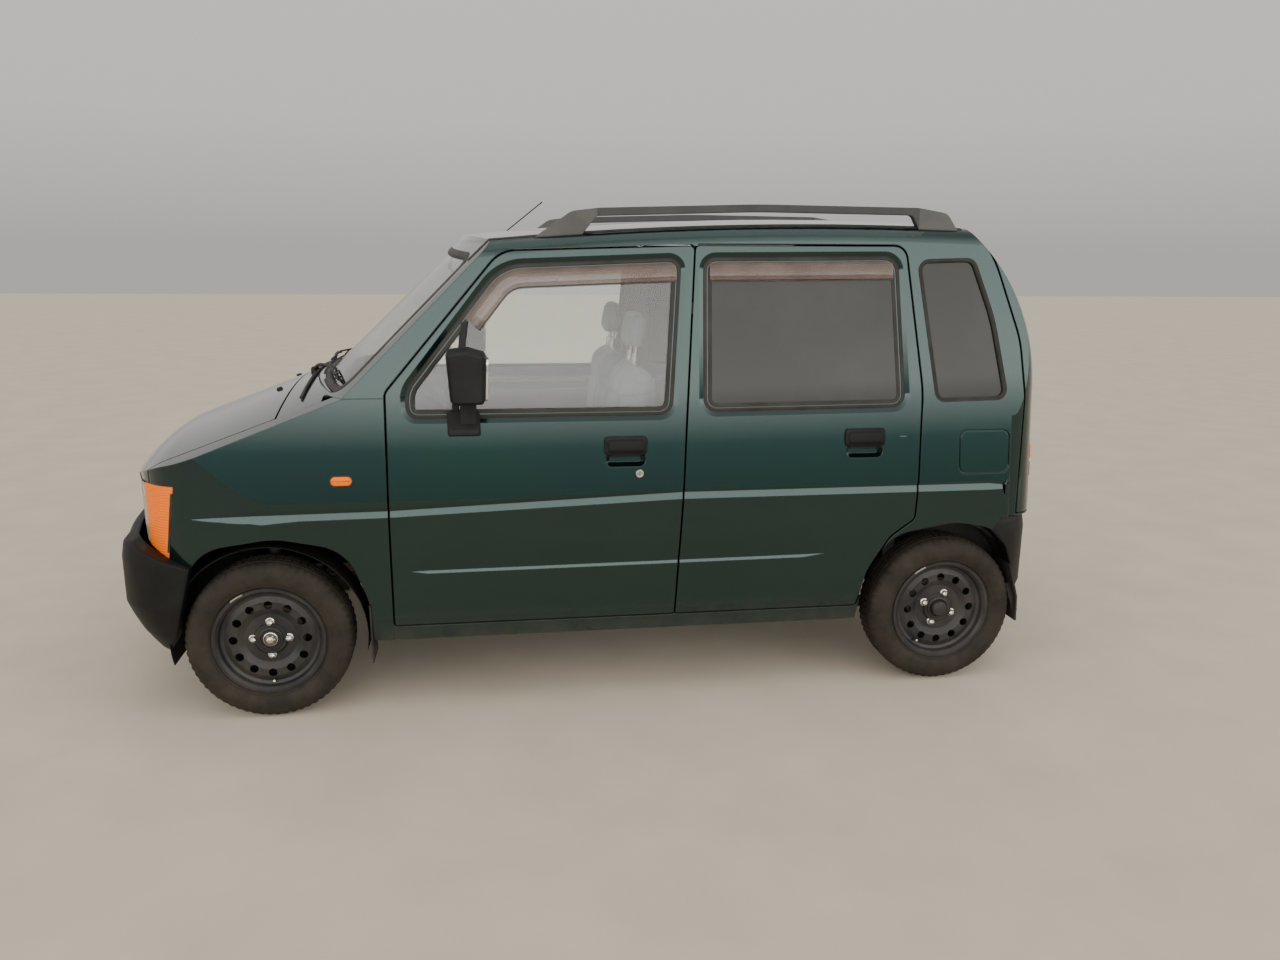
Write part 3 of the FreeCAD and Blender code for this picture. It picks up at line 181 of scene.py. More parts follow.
def paint(name):
    """Dark bottle-green metallic under clear coat; grey lining on the cabin side of each panel."""
    tree = new_tree(name)
    green = tree.mix(tree.patches(0.45, 0.75, 2600, 2, 0.5), (0.004, 0.017, 0.016), (0.017, 0.057, 0.057))
    green = tree.mix(tree.patches(0.4, 0.72, 1.6, 3, high=0.45), green, (0.006, 0.034, 0.024))
    green = tree.mix(tree.dust(0.36, 0.25, 0.16), green, DUST)
    nose = tree.product(tree.patches(0.765, 0.775, 150, 2, 0.4),
        tree.ramp(tree.axis("X"), 0.0, 1.0, 1.15, 1.5))
    green = tree.mix(nose, green, (0.2, 0.19, 0.17))
    over = tree.combine("MAXIMUM", tree.combine("SUBTRACT", tree.axis("Z"), WIDE_AT), 0.0)
    outward_by = tree.combine("ADD", tree.combine("ABSOLUTE", tree.axis("Y")),
        tree.product(over, math.tan(LEAN)))
    lining = tree.ramp(outward_by, 1.0, 0.0, HALF_WIDTH - 0.04, HALF_WIDTH - 0.034)
    for axis, low, high, start, stop in (("Z", 0.0, 1.0, 0.4, 0.41), ("Z", 1.0, 0.0, 1.545, 1.56),
            ("X", 1.0, 0.0, 0.7, 0.72), ("X", 0.0, 1.0, -1.5, -1.48)):
        lining = tree.product(lining, tree.ramp(tree.axis(axis), low, high, start, stop))
    tree.bump(tree.noise(420, 2), 0.02, 0.0004, 0.0035)
    tree.bump(tree.noise(90, 2), 0.03, 0.001, 0.0035, "Coat Normal")
    rough = tree.combine("ADD", tree.ramp(lining, 0.22, 0.75), tree.dust(0.36, 0.25, 0.4))
    return tree.finish(tree.mix(lining, green, LINING), rough, Metallic=tree.ramp(lining, 0.8, 0.0),
        Coat_Weight=1.0, Coat_Roughness=0.02, Coat_IOR=1.42, IOR=1.4)


def rail(name):
    """Roof rail: satin black bar with smoother grey feet."""
    tree = new_tree(name)
    front = tree.ramp(tree.axis("X"), 0.0, 1.0, back(1094), back(1091))
    rear = tree.ramp(tree.axis("X"), 1.0, 0.0, back(2196), back(2193))
    foot = tree.combine("MAXIMUM", front, rear)
    worn = tree.patches(0.35, 0.7, 9, 6, 0.6)
    bar = tree.mix(worn, (0.014, 0.014, 0.015), (0.03, 0.03, 0.031))
    grey = tree.mix(worn, (0.055, 0.055, 0.053), (0.085, 0.083, 0.079))
    tree.bump(tree.noise(900, 3), 0.15, 0.0005, 0.006)
    return tree.finish(tree.mix(foot, bar, grey), tree.ramp(foot, 0.42, 0.6))


def grained(name, colour, rough, grain, depth, lift, edges, dust=0.0, metallic=0.0):
    """Moulded or cast surface: fine grain, faded patches and rounded edges."""
    tree = new_tree(name)
    tone = tree.mix(tree.patches(0.35, 0.7, 7, 6, 0.65), colour, tuple(c + lift for c in colour))
    if dust:
        tone = tree.mix(tree.dust(0.6, 0.15, dust), tone, DUST)
    tree.bump(tree.noise(grain, 3, 0.6), depth, 0.0006, edges)
    return tree.finish(tone, tree.ramp(tree.noise(30, 5), rough - 0.07, rough + 0.09), Metallic=metallic,
        Specular_IOR_Level=0.18)


def glass(name, tint, weight=1.0):
    """Clear sheet glass, or dark glass that hides the cabin, with a faint film of dust."""
    tree = new_tree(name)
    smear = tree.patches(0.45, 0.8, 3, 6, 0.6, high=0.02 + 0.06 * weight)
    return tree.finish(tree.mix(smear, tint, (0.75, 0.75, 0.72)), 0.0, Transmission_Weight=weight, IOR=1.45,
        Specular_IOR_Level=0.33)


def film(name):
    """Thin smoke-brown acrylic, seen through."""
    tree = new_tree(name)
    haze = tree.patches(0.35, 0.75, 12, 5)
    return tree.finish(tree.mix(haze, (0.13, 0.085, 0.068), (0.19, 0.135, 0.11)), 0.12,
        Alpha=tree.ramp(haze, 0.46, 0.56), Coat_Weight=0.5, IOR=1.45)


def lens(name, colour, ribs, weight, axis):
    """Moulded lamp lens: ribbed, tinted and a little hazy."""
    tree = new_tree(name)
    haze = tree.patches(0.4, 0.8, 9, 6, 0.6, high=0.35)
    pale = tuple(min(1.0, c * 1.2 + 0.004) for c in colour)
    tree.bump(tree.wave(tree.axis(axis), ribs), 0.35, 0.0015, 0.004)
    return tree.finish(tree.mix(haze, colour, pale), tree.ramp(haze, 0.12, 0.3, 0.0, 0.35),
        Transmission_Weight=weight, IOR=1.49, Specular_IOR_Level=0.1)


def rubber(name):
    """Road-worn tyre rubber: brown-grey, with dusty patches."""
    tree = new_tree(name)
    tone = tree.mix(tree.patches(0.3, 0.72, 11, 8, 0.7), (0.01, 0.0085, 0.006), (0.034, 0.028, 0.02))
    tree.bump(tree.noise(260, 5, 0.7), 0.25, 0.0008)
    return tree.finish(tone, tree.ramp(tree.noise(45, 5), 0.62, 0.88), Specular_IOR_Level=0.25)


def steel(name, colour, rough, rust, metallic=0.0):
    """Painted or bare steel with specks of rust and road grime."""
    tree = new_tree(name)
    base = tree.mix(tree.patches(0.4, 0.75, 8, 6, 0.6, high=0.3), colour, (0.1, 0.085, 0.065))
    specks = tree.product(tree.patches(0.66 - rust * 0.25, 0.8, 60, 8, 0.75), rust * 4)
    tree.bump(tree.noise(320, 4), 0.12, 0.0006, 0.002)
    return tree.finish(tree.mix(specks, base, (0.16, 0.06, 0.025)),
        tree.ramp(tree.noise(25, 5), rough - 0.08, rough + 0.12), Metallic=metallic, Specular_IOR_Level=0.35)


def fabric(name, colour, second):
    """Woven seat cloth with a soft sheen."""
    tree = new_tree(name)
    warp = tree.wave(tree.axis("Y"), 1900.0)
    weft = tree.wave(tree.combine("ADD", tree.axis("X"), tree.axis("Z")), 1900.0)
    tree.bump(tree.product(warp, weft), 0.35, 0.0008)
    return tree.finish(tree.mix(tree.patches(0.3, 0.75, 6, 6), colour, second), 0.9, Sheen_Weight=0.35,
        Sheen_Roughness=0.5)


FINISHES = (
    (paint, "paint"), (rail, "rail"), (film, "visor_tint"), (rubber, "tyre_rubber"),
    (grained, "bumper_plastic", (0.004, 0.004, 0.004), 0.46, 1100, 0.25, 0.004, 0.014, 0.03),
    (grained, "trim_plastic", (0.008, 0.008, 0.009), 0.46, 1500, 0.2, 0.01, 0.004),
    (grained, "seal_rubber", (0.02, 0.018, 0.016), 0.55, 700, 0.15, 0.018, 0.0),
    (grained, "seal_grey", (0.024, 0.021, 0.019), 0.5, 700, 0.15, 0.02, 0.0),
    (grained, "chassis_black", (0.008, 0.008, 0.008), 0.7, 300, 0.15, 0.01, 0.0, 0.05),
    (grained, "carpet", (0.045, 0.045, 0.048), 0.95, 1400, 0.5, 0.03, 0.0),
    (grained, "coil", (0.012, 0.012, 0.013), 0.35, 500, 0.1, 0.01, 0.0, 0.3),
    (grained, "rubber_flap", (0.014, 0.013, 0.012), 0.75, 600, 0.3, 0.01, 0.0, 0.12),
    (grained, "dash_plastic", (0.075, 0.078, 0.085), 0.6, 1300, 0.3, 0.03, 0.006),
    (grained, "lining", LINING, 0.85, 1500, 0.35, 0.05, 0.0),
    (grained, "headliner", (0.42, 0.41, 0.38), 0.9, 1800, 0.3, 0.05, 0.0),
    (glass, "glass_clear", (0.9, 0.93, 0.92)),
    (glass, "glass_dark", (0.014, 0.014, 0.013), 0.0),
    (lens, "lamp_clear", (0.95, 0.9, 0.76), 520.0, 0.75, "Y"),
    (lens, "lamp_amber", (1.0, 0.19, 0.004), 700.0, 0.08, "Z"),
    (lens, "lamp_red", (0.55, 0.012, 0.012), 700.0, 0.5, "Z"),
    (steel, "wheel_steel", (0.012, 0.012, 0.013), 0.42, 0.12),
    (steel, "chassis_steel", (0.02, 0.02, 0.02), 0.65, 0.3),
    (steel, "hub_steel", (0.1, 0.085, 0.07), 0.7, 0.6),
    (steel, "bare_steel", (0.26, 0.23, 0.2), 0.45, 0.4, 0.8),
    (steel, "bright_steel", (0.62, 0.6, 0.56), 0.25, 0.25, 1.0),
    (steel, "engine_alloy", (0.32, 0.32, 0.32), 0.55, 0.1, 0.7),
    (steel, "mirror_glass", (0.85, 0.87, 0.88), 0.09, 0.0, 1.0),
    (fabric, "seat_fabric", (0.17, 0.175, 0.19), (0.24, 0.245, 0.26)))
MATERIALS = {name: kind(name, *values) for kind, name, *values in FINISHES}

for entry in frame["record"]["subparts"]:
    if entry["node"] in NODES:
        data = NODES[entry["node"]].data
        data.materials.clear()
        data.materials.append(MATERIALS["rail" if entry["node"] == "roof_rails" else entry["material_slot"]])
        for polygon in data.polygons:
            polygon.use_smooth = True
        data.set_sharp_from_angle(angle=math.radians(28))


# Mesh helpers

def outward(mesh):
    """Turn a closed mesh's faces outwards."""
    work = bmesh.new()
    work.from_mesh(mesh)
    bmesh.ops.recalc_face_normals(work, faces=work.faces)
    work.to_mesh(mesh)
    work.free()


def show(name, data):
    """New object in the scene."""
    obj = bpy.data.objects.new(name, data)
    bpy.context.scene.collection.objects.link(obj)
    return obj


def join(*parts):
    """Several (verts, faces) as one."""
    verts, faces = [], []
    for part_verts, part_faces in parts:
        start = len(verts)
        verts += list(part_verts)
        faces += [tuple(i + start for i in f) for f in part_faces]
    return verts, faces


def piece(name, form, material, body="root", bevel=0.0, smooth=35.0):
    """A piece that rides on a body; a star stands for left, and for right as the mirror image."""
    verts, faces = join(*form) if isinstance(form, list) else form
    made = []
    for side, sign in SIDES if "*" in name else SIDES[:1]:
        mesh = bpy.data.meshes.new(name.replace("*", side))
        mesh.from_pydata([(p.x, sign * p.y, p.z) for p in verts], [], [f[::sign] for f in faces])
        mesh.validate()
        outward(mesh)
        for polygon in mesh.polygons:
            polygon.use_smooth = smooth > 0
        if smooth > 0:
            mesh.set_sharp_from_angle(angle=math.radians(smooth))
        mesh.materials.append(MATERIALS[material])
        obj = show(mesh.name, mesh)
        if bevel:
            edge = obj.modifiers.new("edge", "BEVEL")
            edge.width = bevel
            edge.segments = 3
            edge.limit_method = "ANGLE"
            edge.angle_limit = math.radians(38)
        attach(obj, body.replace("*", side))
        made.append(obj)
    return made


def skin(rings, ends="caps"):
    """Faces over a row of rings: capped, open, or joined last to first."""
    count, total = len(rings[0]), len(rings)
    faces = []
    for i in range(total if ends == "joined" else total - 1):
        j = (i + 1) % total
        for k in range(count):
            m = (k + 1) % count
            faces.append((i * count + k, i * count + m, j * count + m, j * count + k))
    if ends == "caps":
        faces += [tuple(range(count))[::-1], tuple(range((total - 1) * count, total * count))]
    return [point for ring in rings for point in ring], faces


def rounded(corners, step=0.012):
    """Points round an outline of (u, v, corner radius)."""
    points = []
    for i, (u, v, radius) in enumerate(corners):
        here = Vector((u, v))
        d1 = (Vector(corners[i - 1][:2]) - here).normalized()
        d2 = (Vector(corners[(i + 1) % len(corners)][:2]) - here).normalized()
        half = d1.angle(d2) / 2
        if radius <= 0 or half > math.pi / 2 - 0.01:
            points.append(here)
            continue
        reach = radius / math.tan(half)
        centre = here + (d1 + d2).normalized() * (radius / math.sin(half))
        start = here + d1 * reach - centre
        sweep = start.angle_signed(here + d2 * reach - centre)
        count = max(3, int(abs(sweep) * radius / step))
        points += [centre + Matrix.Rotation(-sweep * k / count, 2) @ start for k in range(count + 1)]
    return points


def refine(points, step, closed=True):
    """More points along an outline, so that it can follow a curved face."""
    result = []
    for i in range(len(points) if closed else len(points) - 1):
        a, b = points[i], points[(i + 1) % len(points)]
        parts = max(1, int((b - a).length / step))
        result += [a.lerp(b, k / parts) for k in range(parts)]
    return result if closed else result + [points[-1]]


def band(path, normals, section, closed=True):
    """A section of (across, out) in mm swept along a path; one normal may serve all its points."""
    rings = []
    for i, point in enumerate(path):
        before = path[i - 1] if closed or i else point
        after = path[(i + 1) % len(path)] if closed or i < len(path) - 1 else point
        normal = normals[i] if isinstance(normals, list) else normals
        across = (after - before).normalized().cross(normal).normalized()
        rings.append([point + across * (a / 1000) + normal * (b / 1000) for a, b in section])
    return skin(rings, "joined" if closed else "caps")


def circle(segments):
    """Angles round a circle."""
    return [2 * math.pi * k / segments for k in range(segments)]


UPRIGHT = Matrix.Rotation(math.radians(90), 3, "X")
LENGTHWISE = Matrix.Rotation(math.radians(90), 3, "Z")


def lathe(profile, centre, segments=96, turn=Matrix.Identity(3)):
    """A profile of (outward, radius) in mm turned about a line along Y, which can itself be turned."""
    centre = Vector(centre)
    return skin([[centre + turn @ Vector((radius * math.cos(a), out, radius * math.sin(a))) / 1000
        for a in circle(segments)] for out, radius in profile], "open")


def tube(points, radius, sides=10):
    """Round tube along points, closed at its ends; its radius, or one for each point, is in mm."""
    points = [Vector(p) for p in points]
    rings = []
    for i, p in enumerate(points):
        ahead = (points[min(i + 1, len(points) - 1)] - points[max(i - 1, 0)]).normalized()
        u = ahead.cross(Vector((0, 0, 1) if abs(ahead.z) < 0.95 else (1, 0, 0))).normalized()
        w = u.cross(ahead)
        r = (radius[i] if isinstance(radius, list) else radius) / 1000
        rings.append([p + u * (r * math.cos(a)) + w * (r * math.sin(a)) for a in circle(sides)])
    return skin(rings)


def block(low, high):
    """Box between two corners."""
    (x0, y0, z0), (x1, y1, z1) = low, high
    return skin([[Vector((x, y, z)) for x, y in ((x0, y0), (x1, y0), (x1, y1), (x0, y1))] for z in (z0, z1)])


def shrink(points, distance):
    """A closed flat outline moved inwards."""
    count = len(points)
    area = sum(a.x * b.y - b.x * a.y for a, b in zip(points, points[1:] + points[:1]))
    turn = distance if area > 0 else -distance
    moved = []
    for i, p in enumerate(points):
        along = (points[(i + 1) % count] - points[i - 1]).normalized()
        moved.append(p + Vector((-along.y, along.x)) * turn)
    return moved


def raised(outline, place, *levels):
    """Rings of a flat outline, each (moved in, lifted) in mm; a place function sets them on a surface."""
    return skin([[place(p.x, p.y, lift / 1000) for p in shrink(outline, inward / 1000)]
        for inward, lift in levels])


def plaque(u, v, half_u, half_v, radius, step=0.004):
    """Rounded rectangle about a centre."""
    return rounded([(u - half_u, v - half_v, radius), (u + half_u, v - half_v, radius),
        (u + half_u, v + half_v, radius), (u - half_u, v + half_v, radius)], step)


def button(rectangle, place, *levels):
    """Raised rounded rectangle."""
    return raised(plaque(*rectangle), place, *levels)


# Places on the body

def flank(x, z, proud=0.0):
    """Point on the car's left side."""
    return Vector((x, HALF_WIDTH - max(0.0, z - WIDE_AT) * math.tan(LEAN) + proud, z))


FLANK_NORMAL = Vector((0, math.cos(LEAN), math.sin(LEAN)))


def plane(axis, at, way=1):
    """Place function (u, v, lift) on a plane across an axis."""
    def place(u, v, lift):
        point = [u, v]
        point.insert(axis, at + way * lift)
        return Vector(point)
    return place


def view(axis, start, *names):
    """Place function (u, v, lift) on CAD nodes, looked at along an axis from a far start."""
    verts, faces = join(*(([v.co.copy() for v in NODES[name].data.vertices],
        [tuple(p.vertices) for p in NODES[name].data.polygons]) for name in names))
    tree = BVHTree.FromPolygons(verts, faces)
    direction = Vector(plane(axis, -1.0 if start > 0 else 1.0)(0.0, 0.0, 0.0))

    def place(u, v, lift):
        hit, normal, _, _ = tree.ray_cast(plane(axis, start)(u, v, 0.0), direction)
        if hit is None:
            raise RuntimeError(f"nothing to stand on at {u:.3f}, {v:.3f}")
        return hit + normal * (-lift if normal.dot(direction) > 0 else lift)
    return place


def trace(points, place):
    """Places and normals of flat points on a surface."""
    path = [place(p.x, p.y, 0.0) for p in points]
    return path, [place(p.x, p.y, 1.0) - q for p, q in zip(points, path)]


def facing(path, normals):
    """Path and normals turned so that a positive 'across' points away from the path's middle."""
    middle = sum(path, Vector()) / len(path)
    lean = 0.0
    for i, p in enumerate(path):
        along = path[(i + 1) % len(path)] - path[i - 1]
        lean += along.cross(normals[i]).dot(p - middle)
    return (path, normals) if lean > 0 else (path[::-1], normals[::-1])


FRONT_WINDOW = from_axle([(486, 1014, 20), (484, 1080, 80), (786, 1464, 140), (1349, 1489, 22),
    (1318, 1014, 30)])
REAR_WINDOW = from_axle([(1459, 1022, 28), (1459, 1491, 25), (2100, 1500, 35), (2134, 1028, 28)])
QUARTER_WINDOW = from_axle([(2272, 1036, 28), (2194, 1499, 28), (2385, 1506, 32), (2462, 1310, 700),
    (2521, 1041, 28)])
FRONT_VIEW = view(0, 4.0, "windscreen", "front_structure", "bonnet", "roof_panel", "body_side_left",
    "body_side_right")
TAIL_VIEW = view(0, -4.0, "tailgate", "tailgate_glass", "tail_lamps", "rear_bumper", "body_side_left",
    "body_side_right")
TOP_VIEW = view(2, 4.0, "roof_panel", "body_side_left", "bonnet", "front_structure", "windscreen")
BUMPER_VIEW = view(0, 4.0, "front_bumper", "grille", "headlamps", "corner_lamps")
LEFT_VIEW = view(1, 4.0, "left_wing", "front_left_door", "rear_left_door", "body_side_left", "corner_lamps")
DASH = view(0, -3.0, "dashboard")


# Wheels

# Half section of the tyre from the bead to the crown, and of its tread: (outward, radius or groove depth)
TYRE_WALL = [(0.059, BEAD_RADIUS), (0.0612, 0.1762), (0.0622, 0.183), (0.0668, 0.188), (0.07, 0.1905),
    (0.0695, 0.1925), (0.0728, 0.1975), (0.076, 0.207), (0.0775, 0.218), (0.0772, 0.229), (0.0755, 0.2385),
    (0.0745, 0.24), (0.0742, 0.2415), (0.0715, 0.248), (0.0668, 0.255), (0.06, 0.2615), (0.0535, 0.2655),
    (0.044, 0.2668)]
TREAD = [(0.04, 0.0), (0.0395, 1.0), (0.0335, 1.0), (0.033, 0.0), (0.017, 0.0), (0.0165, 1.0), (0.0105, 1.0),
    (0.01, 0.0)]
TREAD_DEPTH = 0.007
TREAD_PITCHES = 64
PITCH_STEPS = 6
# Cross cuts in the tread and shoulders: from and to so far out, share of a pitch, depth
CUTS = ((0.0, 0.033, 0.17, 0.0035), (0.05, 0.07, 0.34, 0.0014), (0.0395, 0.054, 0.34, 0.002))
CUTS_ABOVE = 0.24


def tyre(end, centre):
    """Tyres of one axle with shoulder ribs and a blocked tread."""
    half = [(a, r, 0.0) for a, r in TYRE_WALL]
    half += [(a, TYRE_RADIUS - 0.0004 - a * a * 0.25, groove) for a, groove in TREAD]
    rings = []
    for a, radius, groove in [(-a, r, g) for a, r, g in half] + half[::-1]:
        ring = []
        for k, angle in enumerate(circle(TREAD_PITCHES * PITCH_STEPS)):
            phase = (k % PITCH_STEPS) / PITCH_STEPS
            r = radius - TREAD_DEPTH * groove
            for low, high, share, depth in CUTS:
                if low < abs(a) < high and groove == 0.0 and radius > CUTS_ABOVE and phase < share:
                    r -= depth
            ring.append(centre + Vector((r * math.cos(angle), a, r * math.sin(angle))))
        rings.append(ring)
    made = piece(f"{end}_*_road_tyre", skin(rings, "open"), "tyre_rubber", f"{end}_*_wheel", smooth=32)
    for obj, (side, _) in zip(made, SIDES):
        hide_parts(f"{end}_{side}_tyre")


def hexagon(centre, across, low, high):
    """Hexagon nut along Y with a domed end, in mm."""
    profile = [(low, 1.0), (high - 3, 1.0), (high, 0.72), (high + 2.5, 0.35), (high + 3, 0.0)]
    return lathe([(out, across / math.sqrt(3) * share) for out, share in profile], centre, 6)


def wheel_fittings(end, centre):
    """Wheel nuts, hub centre, valve, balance weight and splash shield of one axle's wheels."""
    def spoke(angle, radius, out):
        return centre + Vector((radius * math.cos(angle), out, radius * math.sin(angle)))

    front = end == "front"
    body = f"{end}_*_wheel"
    nuts = []
    for k in range(4):
        place = spoke((math.pi / 2 if front else math.radians(22)) + k * math.pi / 2, NUT_CIRCLE, 0.0)
        nuts += [lathe([(33.5, 14.5), (36.5, 14.5), (38.5, 10.5)], place, 20), hexagon(place, 19, 36, 53)]
    piece(f"{end}_*_wheel_nuts", nuts, "bright_steel", body, smooth=25)
    ring = lathe([(41.5, 40), (44.5, 40.5), (46, 38), (46, 33), (43, 31)], centre, 48)
    piece(f"{end}_*_hub_ring", ring, "wheel_steel", body)
    if front:
        nut = [lathe([(42.5, 23.5), (46.5, 23.5), (47.5, 21)], centre, 32), hexagon(centre, 28, 46, 56)]
        piece("*_spindle_nut", nut, "bright_steel", "*_knuckle", smooth=25)
    else:
        cap = lathe([(42.5, 30), (56, 28.5), (60, 25.5), (61.8, 18), (62.2, 0)], centre, 48)
        piece("*_hub_cap", cap, "wheel_steel", body)
    valve = math.radians(268 if front else 305)
    stem, end_of_stem = spoke(valve, 0.147, 0.036), spoke(valve, 0.141, 0.062)
    tip = stem.lerp(end_of_stem, 0.55)
    piece(f"{end}_*_valve", tube([stem, tip], [6.2, 4.2]), "seal_rubber", body)
    piece(f"{end}_*_valve_cap", tube([tip, end_of_stem], [4.6, 4.2]), "bright_steel", body)
    weight = [spoke(math.radians(52 + k * 2.4), 0.1795, 0.0668) for k in range(7)]
    piece(f"{end}_*_balance_weight", tube(weight, 4.2, 8), "bare_steel", body)
    shield = [(-31, 46), (-31, 100), (-22, 106), (-22, 138), (-12, 146), (-10, 146), (-19, 136), (-19, 106),
        (-28, 98), (-28, 46)]
    piece(f"{end}_*_splash_shield", lathe(shield, centre, 64), "chassis_black",
        "*_knuckle" if front else "root")


def arch_liner(centre):
    """Black lining of the front wheel arches: a curved sheet and a flat inner wall."""
    rings = []
    for a in (math.radians(degrees) for degrees in range(-14, 191, 6)):
        inner = 0.368 if a < math.radians(62) else 0.54
        rings.append([Vector((centre.x + radius * math.cos(a), y, centre.z + radius * math.sin(a)))
            for radius, y in ((0.3135, inner), (0.3135, 0.655), (0.3155, 0.655), (0.3155, inner))])
    wall = block((centre.x + 0.09, 0.366, 0.2), (centre.x + 0.33, 0.369, 0.56))
    piece("*_arch_liner", [skin(rings, "open"), wall], "chassis_black")


for end in ("front", "rear"):
    hub = Vector(JOINTS[f"{end}_left_wheel_spin"]["pos_m"])
    tyre(end, hub)
    wheel_fittings(end, hub)
arch_liner(Vector(JOINTS["front_left_wheel_spin"]["pos_m"]))


# Seals and side glass details

WINDOW_SEAL = [(-12.5, -12.5), (-12.5, -2), (-8, 1.2), (2, 1.2), (3.5, -1.2), (5.5, -1.2), (7.5, 2.8),
    (14, 2.6), (17.5, 0.2), (17.5, -10)]
QUARTER_SEAL = [(-4, -10), (-4, -1.5), (1, 1.6), (5, 1.2), (6, -6)]
VISOR = [(4, -4), (4, 1), (-14, 7.5), (-54, 8.5), (-58, 6.5), (-54, 6.8), (-14, 5.8), (1.5, -1)]


def side_seal(name, corners, section, material, body, sunk, wide):
    """Rubber frame round a side window, with a thin black edge."""
    path = [flank(p.x, p.y) for p in rounded(corners, 0.008)]
    path, _ = facing(path, [FLANK_NORMAL] * len(path))
    path = [p - FLANK_NORMAL * sunk for p in path]
    piece(f"*_{name}", band(path, FLANK_NORMAL, section), material, body)
    outer = section[-1][0]
    edge = [(outer - 2, -9), (outer - 1, 1), (outer + wide, 1.6), (outer + wide, -9)]
    piece(f"*_{name}_edge", band(path, FLANK_NORMAL, edge), "seal_rubber", body)


def rain_visor(end, corners):
    """Tinted strip in the top of a door window, held clear of the glass."""
    line = refine(rounded(from_axle(corners), 0.01), 0.04, False)
    path = [flank(p.x, p.y, -RECESS) for p in line]
    strip = band(path, FLANK_NORMAL, VISOR, closed=False)
    if strip[0][3].z > path[0].z:
        strip = band(path, FLANK_NORMAL, [(-a, b) for a, b in VISOR], closed=False)
    piece(f"*_{end}_rain_visor", strip, "visor_tint", f"{end}_*_door")
    piece(f"*_{end}_rain_visor_edge", tube(strip[0][3::len(VISOR)], 1.6, 6), "seal_rubber", f"{end}_*_door")


side_seal("front_window_seal", FRONT_WINDOW, WINDOW_SEAL, "seal_grey", "front_*_door", RECESS, 8)
side_seal("rear_window_seal", REAR_WINDOW, WINDOW_SEAL, "seal_grey", "rear_*_door", RECESS, 8)
side_seal("quarter_seal", QUARTER_WINDOW, QUARTER_SEAL, "seal_rubber", "root", 0.0, 4)
rain_visor("front", [(664, 1309, 0), (785, 1461, 138), (1347, 1486, 0)])
rain_visor("rear", [(1462, 1488, 0), (1780, 1492, 0), (2098, 1496, 0)])
divider = [flank(back(622), 1.012, -RECESS), flank(back(660), 1.3, -RECESS)]
DIVIDER = [(-12, -9), (-12, -1), (-9, 1.5), (9, 1.5), (12, -1), (12, -9)]
piece("*_window_divider", band(divider, FLANK_NORMAL, DIVIDER, closed=False), "trim_plastic", "front_*_door",
    bevel=0.0008)

SCREEN_SEAL = [(-16, 0), (-16, 3), (-10, 8.2), (3, 9.5), (12, 8.8), (13.5, 7), (5, 0)]
WINDSCREEN = [(-600, 1066, 45), (0, 1098, 2500), (600, 1066, 45), (545, 1508, 60), (0, 1530, 2500),
    (-545, 1508, 60)]
TAIL_GLASS = [(-560, 1062, 60), (560, 1062, 60), (520, 1520, 60), (-520, 1520, 60)]
SCREENS = (("windscreen_seal", WINDSCREEN, FRONT_VIEW, "seal_grey", "root"),
    ("tail_seal", TAIL_GLASS, TAIL_VIEW, "seal_rubber", "tailgate"))
for name, corners, place, material, body in SCREENS:
    edge = shrink(refine(rounded(in_metres(corners), 0.012), 0.03), 0.006)
    piece(name, band(*facing(*trace(edge, place)), SCREEN_SEAL), material, body)

gutter = [Vector((back(d), 0.556)) for d in [*range(592, 640, 8), *range(640, 2386, 35)]]
gutter = [p for p in gutter if TOP_VIEW(p.x, p.y, 0.0).z > 1.47]
GUTTER = [(-9.5, -4), (-9.5, 0.8), (-4, 2.4), (4, 2.4), (9.5, 0.8), (9.5, -4)]
piece("*_drip_channel", band(*trace(gutter, TOP_VIEW), GUTTER, closed=False), "seal_rubber")

DOORS = {"front": [(406, 306, 8), (406, 1078, 40), (780, 1522, 110), (1410, 1545, 14), (1346, 306, 8)],
    "rear": [(1352.5, 306, 8), (1416.5, 1546, 14), (2140, 1550, 45), (2211, 1060, 500), (2197, 622, 22),
    (2113, 560, 60), (2040, 440, 150), (2003, 306, 8)]}
# Black rubber strips deep in the door shut lines: weatherstrip, and also painted shade that keeps the gaps black
GAP_SEAL_AND_SHADE = [(0.6, -44.5), (0.6, -26), (3.2, -20), (5.8, -26), (5.8, -44.5)]
for end, corners in DOORS.items():
    path = [flank(p.x, p.y) for p in refine(rounded(from_axle(corners), 0.02), 0.06)]
    piece(f"*_{end}_gap_seal", band(*facing(path, [FLANK_NORMAL] * len(path)), GAP_SEAL_AND_SHADE), "seal_rubber")


# Details on the outside

REPEATER_Z = 0.8035
LOCK = Vector((back(1222), LEFT_VIEW(back(1222), 0.805, 0.0).y, 0.805))
piece("*_repeater_seat", button((back(260), REPEATER_Z, 0.037, 0.0185, 0.018), LEFT_VIEW, (0, -2), (0, 2),
    (2, 3)), "seal_rubber")
piece("*_repeater", button((back(260), REPEATER_Z, 0.033, 0.0145, 0.0142), LEFT_VIEW, (0, 0), (0, 6),
    (2, 10), (6, 12.5), (10, 13.2)), "lamp_amber")
piece("*_door_lock", lathe([(-4, 13.5), (2, 13.5), (3.5, 12), (3.5, 9.5), (2.2, 9), (2.6, 0)], LOCK, 32),
    "bright_steel", "front_*_door")
